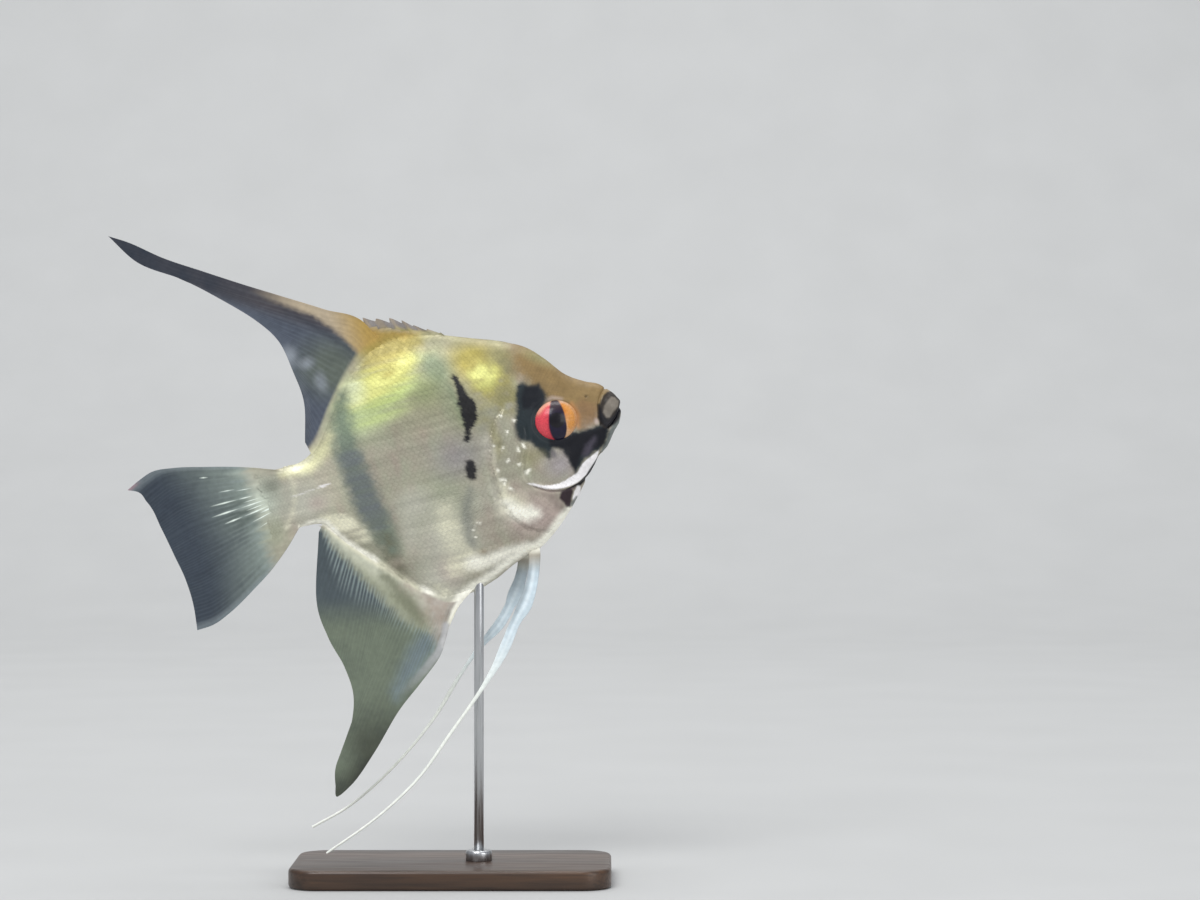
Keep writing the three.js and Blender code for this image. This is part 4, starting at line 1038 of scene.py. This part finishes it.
def dorsal_colour(u, w, t, s, ridge):
    lead, _, along = near(DORSAL_LEAD, u, w)
    clouds = sum(patch(u, w, *cloud) for cloud in DORSAL_CLOUDS)
    band = area_mark(DORSAL_BAND, u, w, 2.2, 0.5)
    fleshy = mix(ORANGE, SPINE_BEIGE, ramp(38, 26, u))
    edge = ramp(2.6, 0.4, off_body(u, w))
    dark = 0.06 * (1 - ridge) + 0.3 * rough_noise(u / 4, w / 4, 61)
    dark = dark + 0.75 * ramp(0.4, 0.75, along) * ramp(9, 5, lead)
    colour = layered(
        FIN_SLATE,
        (FIN_GREEN, 1.2 * patch(u, w, (24, 34), (14, 17), 60)),
        (FIN_CLOUD, 0.7 * clouds),
        (LEAD_BROWN, 0.85 * ramp(8.5, 3.5, lead)),
        (FIN_PALE, 0.06 * ridge * ramp(0, 0.25, s)),
        (FIN_DARK, dark),
        (FIN_DARK, 0.45 * area_mark(DORSAL_SHADE, u, w, 2, 0.4)),
        (fleshy, band * ramp(6, 22, u + 1.5 * noise(t * 40, s * 3, 62)) * (0.93 + 0.07 * ridge)),
        (markings(u, w)[0], edge),
    )
    solid = edge + 0.5 * band + 0.3 * ramp(8, 2, lead) + 0.15 * ramp(0.3, 0.6, along)
    return rgba(colour, 0.9 + 0.05 * ridge + solid)


def spine_colour(u, w, t, s, ridge):
    edge = ramp(1.4, 0.2, off_body(u, w))
    colour = layered(
        SPINE_BEIGE,
        (SPINE_GREY, 1.1 - 0.6 * ridge),
        (NAPE_GOLD, ramp(0.75, 0.35, s)),
        (markings(u, w)[0], edge),
    )
    return rgba(colour, 0.62 + 0.25 * ridge**2 + 0.2 * ramp(0.8, 0.5, s) + edge)


def anal_colour(u, w, t, s, ridge):
    off = off_body(u, w)
    near_root = ramp(25, 12, off + 2 * noise(u / 3, w / 3, 71)) * ramp(0, 3, u - 6)
    sheath = area_mark(ANAL_FLANK, u, w, 4.6, 1.0)
    pale = layered(
        SHEATH_PALE,
        (SHEATH_OLIVE, 0.7 * ramp(2.5, 10, off + rough_noise(u / 2, w / 2, 66))),
        (CREAM, 0.8 * ramp(3, 0.5, off)),
    )
    flesh = area_mark(ANAL_FLESH, u, w, 7, 0.8)
    lead, _, along = near(ANAL_LEAD, u, w)
    edge = ramp(0.9, 0.2, off)
    colour = layered(
        ANAL_SLATE,
        (ANAL_GREEN, ramp(-36, -48, w + 0.3 * (u - 20))),
        (ANAL_DUSK, 0.85 * (ramp(-62, -80, w) * ramp(-8, 3, u) + ramp(-80, -90, w))),
        (FIN_DARK, (0.08 + 0.12 * ramp(0.35, 0.1, s)) * (1 - ridge) + 0.2 * rough_noise(u / 4, w / 4, 63)),
        (ANAL_RAY, 0.75 * ridge * near_root),
        (ANAL_BLUE, 0.6 * area_mark(ANAL_PATCH, u, w, 6, 0.6) * (0.75 + 0.25 * ridge)),
        (pale, sheath),
        (SHEATH_DARK, 0.75 * area_mark(ANAL_OLIVE, u, w, 3.6, 0.9)),
        (mix(FLESH, SILVER_WARM, 0.5 + rough_noise(u / 3, w / 3, 70)), flesh),
        # Partly the belly's pale edge and partly painted highlight, carried on from the body along the
        # belly's front edge.
        (BRIGHT, 0.8 * ramp(1.6, 0.5, near(BELLY_FRONT[4:], u, w)[0])),
        (EDGE_MAUVE, 0.85 * ramp(1.9, 0.4, lead) * ramp(0.6, 0.1, along)),
        (markings(u, w)[0], edge),
    )
    return rgba(colour, 0.89 + 0.06 * ridge + sheath + edge + flesh + 0.4 * ramp(3, 0.5, lead))


def tail_colour(u, w, t, s, ridge):
    dark = 0.15 * (1 - ridge) * ramp(0.1, 0.4, s) * (0.6 + 0.6 * noise(t * TAIL_RAYS, s * 2, 73))
    dark = dark + 0.2 * rough_noise(u / 4, w / 4, 65) + 0.14 * rough_noise(t * 70, s * 5, 69)
    lit = 0.6 + 0.8 * rough_noise(t * TAIL_RAYS * 2, s * 2, 72)
    pale = ramp(-15, -3, u + 3.5 * noise(t * TAIL_RAYS * 1.5, 0 * t, 68) + 2 * (ridge - 0.5))
    joined = ramp(-12.5, -6.5, u + 1.5 * rough_noise(w, s * 3, 67))
    # Painted highlights: bright glints along some of the rays.
    glint = np.zeros(u.shape)
    for ray, start, end, half in TAIL_GLINTS:
        middle, reach = (start + end) / 2, (end - start) / 2
        taper = np.maximum(0, 1 - np.abs((s - middle) / reach)) ** 0.6
        glint = np.maximum(glint, ramp(0.04, -0.04, np.abs(t * TAIL_RAYS - ray) - half * taper) * taper)
    colour = layered(
        TAIL_SLATE,
        (TAIL_OLIVE, ramp(0.92, 0.22, s + 0.25 * t * (1 - t))),
        (FIN_DARK, dark),
        (FIN_PALE, (0.06 + 0.29 * ramp(0.6, 0.2, s)) * lit * ridge * ramp(0.02, 0.2, s)),
        (TAIL_STREAK, 0.6 * patch(u, w, (-13, 0), (13, 9), 10) * (1 - ridge)),
        (FIN_PALE, 0.5 * (ramp(0.05, 0.01, t) + ramp(0.95, 0.99, t))),
        (TAIL_TIP, 0.45 * ramp(0.02, 0.0, t) * ramp(0.9, 0.97, s)),
        (TAIL_PALE, (0.15 + 0.45 * ramp(-7, 1, w)) * pale),
        (TAIL_OLIVE, 0.75 * patch(u, w, (-10, 5), (7, 5))),
        (markings(u, w)[0], joined),
        (GLINT_WHITE, glint),
    )
    return rgba(colour, 0.89 + 0.05 * ridge + joined + glint + 0.25 * ramp(0.5, 0.1, s))


ROOT_DEPTH = 2.0  # a fin's root lies this deep in the body
FIN_EDGE = 0.5  # a fin's thickness at its edge
THIN_FROM = 0.6  # and the share of its rays' length from which it has it


def fin_half(root):
    """Half a fin's thickness along its rays, from the thickness at its root."""
    return lambda s: (root + (FIN_EDGE - root) * np.minimum(1, s / THIN_FROM)) / 2


DORSAL_LEADING = path([
    (0, 41, 34.5), (0.08, 37, 44.6), (0.2, 26.7, 51.6), (0.34, 15.8, 58.7), (0.48, 5, 65.7),
    (0.62, -5.8, 73), (0.78, -16.5, 80.4), (0.9, -24.5, 87.2), (1, -30.2, 91),
])
DORSAL_TRAILING = path([
    (0, -30.2, 91), (0.08, -24.5, 81.6), (0.2, -12.3, 72.2), (0.33, -2.1, 62.6), (0.46, 6, 53.8),
    (0.58, 10.6, 46.4), (0.72, 12.4, 36), (0.86, 13, 26.2), (1, 10, 14.6),
])
DORSAL_SPINY_EDGE = path([
    (0, 58.5, 35.2), (0.26, 51, 39.8), (0.42, 47, 42.8), (0.7, 38.6, 45.4), (1, 29.5, 49.8),
])
ANAL_FRONT_RAY = path([(0, 47.5, -41.2), (0.3, 44.9, -43.1), (0.6, 42.1, -44.7), (1, 39, -47.7)])
ANAL_EDGE = path([  # down the fin's front to its tip, then up behind
    (0, 39, -47.7), (0.07, 35.6, -52.2), (0.14, 31, -59), (0.2, 23.5, -64.8), (0.26, 14.5, -71.4),
    (0.32, 4.2, -81.2), (0.37, -5, -88.6), (0.4, -10.3, -90.9), (0.43, -9.8, -87.4), (0.48, -8.4, -82.5),
    (0.56, -1.6, -73.6), (0.64, 2.6, -64), (0.73, 2.6, -54), (0.82, 0.3, -44), (0.91, 0, -32),
    (1, 6.3, -12.6),
])
TAIL_EDGE = path([
    (0, -46, 15.6), (0.03, -43.4, 14.4), (0.1, -41.4, 10.6), (0.3, -39.4, 1.6), (0.5, -37.8, -7),
    (0.7, -36.4, -15.4), (0.88, -36.4, -24), (1, -37.4, -31),
])
TAIL_TOP_RAY = path([
    (0, 1.5, 8.2), (0.22, -9.2, 12.3), (0.48, -21.7, 16), (0.66, -30.5, 18.2), (0.82, -37.8, 18.8),
    (0.9, -41.4, 17.6), (1, -46, 15.6),
])
TAIL_BOTTOM_RAY = path([
    (0, 1.5, -9.2), (0.16, -4.4, -14.8), (0.3, -10.2, -19.4), (0.48, -17, -23.6), (0.7, -25.8, -28.4),
    (0.86, -32, -30.7), (1, -37.4, -31),
])


def body_root(edge, depth, start, end):
    """A fin's root, from one place to another along the body's edge, at a depth below it."""
    return lambda t: (start + (end - start) * t, edge(start + (end - start) * t) + depth)


def build_middle_fins():
    """The fins on the fish's middle plane, each swaying a few millimetres to its sides."""
    dorsal_root = body_root(back, -ROOT_DEPTH, 41, 11)
    spiny_root = body_root(back, -ROOT_DEPTH, 61, 34.5)
    anal_root = body_root(belly, ROOT_DEPTH, 47.5, 9)
    tail_root = path([(0, 1.5, 8.2), (1, 1.5, -9.2)])
    build_fin(
        "dorsal_soft_rays", ["dorsal_fin"], (dorsal_root, DORSAL_TRAILING, DORSAL_LEADING, None),
        (24, 16, 90), fin_half(2.1), lambda t, s: 1.2 * s * s * np.sin(2.4 + 2.6 * t), dorsal_colour,
        rib=0.03,
    )
    build_fin(
        "dorsal_spines", [], (spiny_root, DORSAL_SPINY_EDGE, None, None),
        (8, 24, 26), fin_half(1.7), lambda t, s: 0.25 * s * np.sin(31 * t), spine_colour,
        forks=(2, 2), scallop=0.17,
    )
    build_fin(
        "anal_soft_rays", ["anal_fin"], (anal_root, ANAL_EDGE, ANAL_FRONT_RAY, None),
        (26, 16, 90), fin_half(2.1), lambda t, s: -1.0 * s * s * np.sin(2.0 + 2.5 * t), anal_colour,
        forks=(0.1, 0.75), rib=0.07,
    )
    build_fin(
        "tail_rays", ["tail_fin"], (tail_root, TAIL_EDGE, TAIL_TOP_RAY, TAIL_BOTTOM_RAY),
        (TAIL_RAYS, 24, 90), fin_half(2.2), lambda t, s: s * s * (2.2 + 0.8 * np.sin(t * 7)), tail_colour,
        forks=(0.34, 0.64), rib=0.06,
    )


PELVIC_LINES = {
    -1: path([
        (0, 68.4, -33), (0.08, 65.8, -41.4), (0.18, 60.7, -50.2), (0.24, 55.9, -55.2), (0.3, 51.8, -60.4),
        (0.36, 47.3, -65.5), (0.42, 42, -70.4), (0.56, 28.5, -81.4), (0.7, 15.6, -91.6), (0.84, 1, -99.2),
        (1, -17, -105.6),
    ]),
    1: path([
        (0, 65.4, -33.6), (0.08, 61.8, -41.5), (0.18, 55.6, -50), (0.24, 50.9, -54.6), (0.3, 44.8, -58.5),
        (0.42, 35.2, -66.2), (0.56, 24.4, -76.2), (0.7, 12.4, -84.8), (0.8, 1.9, -90.8), (0.89, -8.3, -95.3),
        (1, -21.1, -98.5),
    ]),
}
PELVIC_OUT = smooth([(0, 0), (0.02, 0.5), (0.05, 2.2), (0.1, 4), (0.3, 6.4), (0.6, 8), (1, 9)])
PELVIC_WIDTH = smooth([
    (0, 2.4), (0.03, 3.4), (0.08, 3.4), (0.13, 3.6), (0.18, 4.2), (0.2, 4), (0.22, 3.3), (0.26, 3.1),
    (0.3, 3.2), (0.33, 2.9), (0.36, 2.3), (0.42, 1.4), (0.6, 1), (1.3, 0.6),
])
PELVIC_THICK = smooth([(0, 0.4), (0.03, 0.8), (0.06, 1.2), (0.12, 1), (0.3, 0.9), (0.5, 0.85), (1, 0.55)])


def build_pelvic_fins():
    """A blade of a few close rays that runs out into a long thread."""
    t = np.linspace(0, 1, 260)[:, None]
    turn = circle(28)[None, :]
    across = np.cos(turn)
    groove = 0.5 - 0.5 * np.cos(across * 7)
    for name, side in SIDES.items():
        left = side > 0
        u, w = PELVIC_LINES[side](t)
        du, dw = (b - a for a, b in zip(PELVIC_LINES[side](t - 0.004), PELVIC_LINES[side](t + 0.004)))
        length = np.hypot(du, dw)
        waver = 1 + 0.03 * noise(t * 60, 0 * t, side + 3) + 0.2 * left * ramp(0.3, 0.5, t)
        reach = t * (1.25 if left else 1)  # the left fin narrows sooner
        broad = across * PELVIC_WIDTH(reach) / 2 * waver
        thin = np.sin(turn) * PELVIC_THICK(t) / 2 * (1 - 0.16 * groove * ramp(0.6, 0.2, t))
        rings = np.stack([u - dw / length * broad, w + du / length * broad, side * PELVIC_OUT(t) + thin], -1)
        # Bluer at the blade's rims near its root, and in the grooves between its rays a painted shade.
        blue = 0.4 * across**2 * ramp(0.34, 0.1, t) + 0.3 * groove * ramp(0.6, 0.2, t)
        colour = layered(
            PELVIC_WHITE,
            (PELVIC_BLUE, blue),
            # Painted shade in grey: on the blade's rear edge near its root, stronger on the near fin, over
            # the far fin's root, and where each blade meets the body.
            (PELVIC_SHADE_GREY, (0.21 if left else 0.7) * ramp(-0.1, -0.7, across) * ramp(0.3, 0.2, t)),
            (PELVIC_SHADE_GREY, 0.6 * left * ramp(0.2, 0.1, t)),
            (PELVIC_SHADE_GREY, 0.45 * ramp(0.12, 0.05, t)),
            (THREAD_WHITE, 0.9 * ramp(0.25, 0.5, t)),
            (markings(u, w)[0], ramp(0.09, 0.03, t)),
        )
        points, faces = tube(rings)
        piece = make_mesh(f"pelvic_{name}", place(*points.T), faces, ringed(rgba(colour)), material=FIN)
        keep(piece, "pelvic_fin", f"pelvic_fin_{name}")


PECTORAL_AT = (60.6, -16.0)  # the root, as u and w
PECTORAL_LENGTH, PECTORAL_SINK = 26.6, 1.2
PECTORAL_OUT, PECTORAL_DROOP = math.radians(24), math.radians(10)
PECTORAL_HALF = smooth([(0, 2.1), (0.25, 4.5), (0.6, 7), (0.85, 6), (1, 3.4)])


def build_pectoral_fins():
    rays, steps = 13, 40
    t, s = np.linspace(-1, 1, rays * 8 + 1)[:, None], np.linspace(0, 1, steps)[None, :]
    reach = s * PECTORAL_LENGTH * (1 - 0.1 * t * t)
    across = t * PECTORAL_HALF(s)
    out = flank(*PECTORAL_AT) - PECTORAL_SINK + reach * math.sin(PECTORAL_OUT) * (1 - 0.35 * s)
    u = PECTORAL_AT[0] - reach * math.cos(PECTORAL_OUT) - 0.1 * across * s
    w = PECTORAL_AT[1] + across - reach * math.sin(PECTORAL_DROOP)
    ridge = ray_ridge((t + 1) / 2, s + 0 * t, rays, (0.6, 0.9))
    colour = mix(PALE_SILVER, SILVER_GREEN, 0.3 + 0.4 * ridge)
    paint = rgba(colour, 0.03 + 0.07 * ridge + 0.3 * ramp(0.08, 0, s + 0 * t))
    half = (0.55 - 0.3 * s) * (0.5 + 0.5 * ridge) * (1 - 0.5 * t**4)
    for name, side in SIDES.items():
        mid = np.stack([u, w, side * out + 0 * u], -1)
        piece = plate(f"pectoral_{name}", mid, half, paint)
        keep(piece, "fin", f"pectoral_fin_{name}")


# ---------------------------------------------------------------- eyes
EYE_RED, EYE_DEEP, EYE_HIGHLIGHT, EYE_ORANGE, EYE_PEACH = inks("d94a55", "b02c3c", "e0a087", "d08f48", "dfae82")
EYE_BLAZE, EYE_PUPIL, EYE_BAR, EYE_BROWN, EYE_RIM = inks("c4772c", "08050f", "100828", "3a2c30", "b09a88")
BAR_MIDDLE = smooth([(-6, 0.9), (-3, 0.45), (0, 0.1), (3, -0.1), (5.4, -0.35)])
BAR_HALF = smooth([(-6.2, 0.9), (-5.2, 1.8), (-3.2, 2.55), (0, 2.6), (3, 2.1), (5, 1.5), (6.2, 0.9)])


def eye_colour(du, dw):
    """Red behind and orange ahead, with a dark upright pupil that leans a little back at its top."""
    ahead = du * math.cos(PITCH) - dw * math.sin(PITCH)
    up = du * math.sin(PITCH) + dw * math.cos(PITCH)
    r = np.hypot(du, dw)
    around = np.arctan2(up, ahead)
    fibre = noise(around * 14, r * 0.9, 91) + 0.5 * noise(around * 31, r * 1.3, 92)
    from_bar = np.abs(ahead - BAR_MIDDLE(up)) - BAR_HALF(up)
    front = layered(
        EYE_ORANGE,
        (EYE_PEACH, ramp(-1.5, -4, up) + 0.2 * fibre),
        (EYE_BLAZE, 0.8 * hill(from_bar, 1.1) * ramp(0, 2, up)),
        (EYE_RIM, 0.35 * ramp(5.2, 6.2, r)),
    )
    # Painted highlight: a thin pale crescent beside the pupil's bar, low on its front side.
    pupil_glint = hill(from_bar - 0.1, 0.2) * ramp(0.5, 1.5, ahead) * ramp(0, -1.5, up) * ramp(-5, -3, up)
    return layered(
        EYE_RED,
        (EYE_DEEP, 0.4 * hill(from_bar, 1.0) + 0.22 * fibre),
        # Painted highlight: pink over the iris's upper rear edge.
        (EYE_HIGHLIGHT, 1.1 * ramp(4.4, 5.9, r) * ramp(0.5, 3.4, up)),
        (EYE_DEEP, 0.35 * ramp(-4, -5.6, up)),
        (front, ramp(-0.3, 0.8, ahead - BAR_MIDDLE(up))),
        (EYE_RIM, 0.5 * ramp(4.6, 6, up)),
        (EYE_PEACH, 0.8 * pupil_glint),
        (mix(EYE_BAR, EYE_BROWN, 0.8 * ramp(1.5, 4.8, up)), ramp(0.22, -0.22, from_bar)),
        (EYE_PUPIL, ramp(2.5, 2.1, r)),
    )


def build_eyes():
    """Each eye is a ball flattened along its axis, which is turned a little towards the snout."""
    polar = np.linspace(0, math.pi, 91)[1:-1, None]
    turn = circle(120)[None, :]
    du = EYE["radius"] * np.sin(polar) * np.cos(turn)
    dw = EYE["radius"] * EYE["tall"] * np.sin(polar) * np.sin(turn)
    dy = EYE["depth"] * np.cos(polar) + 0 * turn
    c, s = math.cos(EYE["turn"]), math.sin(EYE["turn"])
    for name, side in SIDES.items():
        middle = np.array([EYE["u"], EYE["w"], side * EYE["y"]])
        pole = EYE["depth"] * np.array([s, 0, side * c])
        rings = middle + np.stack([du * c + dy * s, dw, side * (dy * c - du * s)], -1)
        points, faces = tube(rings, middle + [pole, -pole])
        paint = ringed(rgba(eye_colour(du, dw)))
        piece = make_mesh(f"eyeball_{name}", place(*points.T), faces, paint, material=EYE_GLASS)
        keep(piece, "eye", f"eye_{name}")


# ---------------------------------------------------------------- the stand
PLINTH_CORNER, PLINTH_EDGE = 0.009, 0.0012  # the radii of its upright corners and of its edges
TURNED = (("stand_rod", "stand_pin", 0.0004), ("stand_collar", "stand_ring", 0.0009))  # node, piece and bevel
FOOT_BEVEL = 0.0001


def quarter(steps):
    """Angles over a quarter turn."""
    return np.linspace(0, math.pi / 2, steps)


def build_plinth():
    low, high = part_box("stand_base")
    half, middle = np.subtract(high, low) / 2, np.add(high, low) / 2
    levels = [(PLINTH_EDGE * (1 - math.sin(a)), PLINTH_EDGE * (1 - math.cos(a)) + low[2]) for a in quarter(6)]
    levels += [(inset, low[2] + high[2] - z) for inset, z in levels[::-1]]
    rings = []
    for inset, z in levels:
        for k, (sx, sy) in enumerate(((1, -1), (1, 1), (-1, 1), (-1, -1))):
            for a in quarter(14) + (k - 1) * math.pi / 2:
                rings.append((
                    middle[0] + sx * (half[0] - PLINTH_CORNER) + (PLINTH_CORNER - inset) * math.cos(a),
                    middle[1] + sy * (half[1] - PLINTH_CORNER) + (PLINTH_CORNER - inset) * math.sin(a), z))
    columns = len(rings) // len(levels)
    bottom = np.arange(columns)
    top = (len(levels) - 1) * columns + bottom
    faces = [quads(len(levels), columns, wrap_columns=True), bottom[None, ::-1], top[None]]
    keep(make_mesh("stand_plinth", np.array(rings), faces, material=WOOD), "wood", "stand_base")


def build_turned():
    """The rod and its collar: upright round bars with flat ends and rounded top edges."""
    turn = circle(64)
    for node, name, bevel in TURNED:
        low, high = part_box(node)
        outer = (high[0] - low[0]) / 2
        profile = [(outer - FOOT_BEVEL, low[2]), (outer, low[2] + FOOT_BEVEL)]
        inner, shoulder = outer - bevel, high[2] - bevel
        profile += [(inner + bevel * math.cos(a), shoulder + bevel * math.sin(a)) for a in quarter(6)]
        radius, height = np.array(profile)[:, :1], np.array(profile)[:, 1:]
        x = (low[0] + high[0]) / 2 + radius * np.cos(turn)
        y = (low[1] + high[1]) / 2 + radius * np.sin(turn)
        points, faces = tube(np.stack([x, y, height + 0 * turn], -1))
        keep(make_mesh(name, points, faces, material=STEEL), "steel", node)


# ---------------------------------------------------------------- stage, lights and camera
FRAME = (1200, 900)  # pixels
MM_PER_PIXEL = 0.30216
TAIL_ROOT_PIXEL = (287, 498)  # where the tail's root lies in the frame
CAMERA_DISTANCE = 0.95
SENSOR = 36
FLOOR_HALF, FLOOR_FRONT, BEND_START, BEND_REACH, BACKDROP_TOP = 6, -5, 1.2, 0.9, 3.2  # metres


def build_stage():
    """A pale floor that turns up into a backdrop far behind the fish."""
    bend = np.linspace(0.1, math.pi / 2, 16)
    flat = np.linspace(FLOOR_FRONT, BEND_START, 8)
    depth = np.concatenate([flat, BEND_START + BEND_REACH * np.sin(bend), [BEND_START + BEND_REACH]])
    height = np.concatenate([0 * flat, BEND_REACH * (1 - np.cos(bend)), [BACKDROP_TOP]])
    across = np.linspace(-FLOOR_HALF, FLOOR_HALF, 9)
    grid = np.stack(np.broadcast_arrays(across[None, :], depth[:, None], height[:, None]), -1)
    make_mesh("floor", grid, [quads(len(depth), len(across))], material=FLOOR, closed=False)


def add_light(name, at, size, watts, target=(0, 0, 0.12)):
    """A soft rectangular light that shines on the target, or else on the fish's middle."""
    data = bpy.data.lights.new(name, "AREA")
    data.shape = "RECTANGLE"
    data.size, data.size_y = size
    data.energy = watts
    light = bpy.data.objects.new(name, data)
    light.location = at
    light.rotation_euler = (Vector(target) - Vector(at)).to_track_quat("-Z", "Y").to_euler()
    bpy.context.scene.collection.objects.link(light)


def build_lights():
    add_light("key", (-0.6, -1.4, 1.6), (1.0, 1.0), 24)
    add_light("fill", (1.4, -1.5, 0.6), (1.2, 1.2), 11)
    add_light("top", (0, 0, 1.9), (1.2, 0.8), 14)
    add_light("backdrop", (0, 1, 1.9), (2.4, 0.8), 20, (0, 1.9, 0.5))
    world = bpy.data.worlds.new("studio")
    world.use_nodes = True
    sky = world.node_tree.nodes["Background"].inputs
    sky["Color"].default_value, sky["Strength"].default_value = (0.9, 0.93, 1, 1), 0.45
    bpy.context.scene.world = world
    bpy.context.scene.view_settings.view_transform = "Standard"


def build_camera():
    """Level, square on to the fish's right side, with the frame's middle where it falls beside the fish."""
    middle_x = (TAIL_ROOT_X + (FRAME[0] / 2 - TAIL_ROOT_PIXEL[0]) * MM_PER_PIXEL) * MM
    middle_z = (TAIL_ROOT_Z - (FRAME[1] / 2 - TAIL_ROOT_PIXEL[1]) * MM_PER_PIXEL) * MM
    data = bpy.data.cameras.new("camera")
    data.sensor_width = SENSOR
    data.lens = SENSOR * CAMERA_DISTANCE / (FRAME[0] * MM_PER_PIXEL * MM)
    data.clip_start, data.clip_end = 0.05, 20
    camera = bpy.data.objects.new("camera", data)
    camera.location = (middle_x, -CAMERA_DISTANCE, middle_z)
    camera.rotation_euler = (math.pi / 2, 0, 0)
    bpy.context.scene.collection.objects.link(camera)
    bpy.context.scene.camera = camera


build_stage()
build_lights()
build_camera()
build_skin()
build_coat()
build_middle_fins()
build_pelvic_fins()
build_pectoral_fins()
build_eyes()
build_plinth()
build_turned()
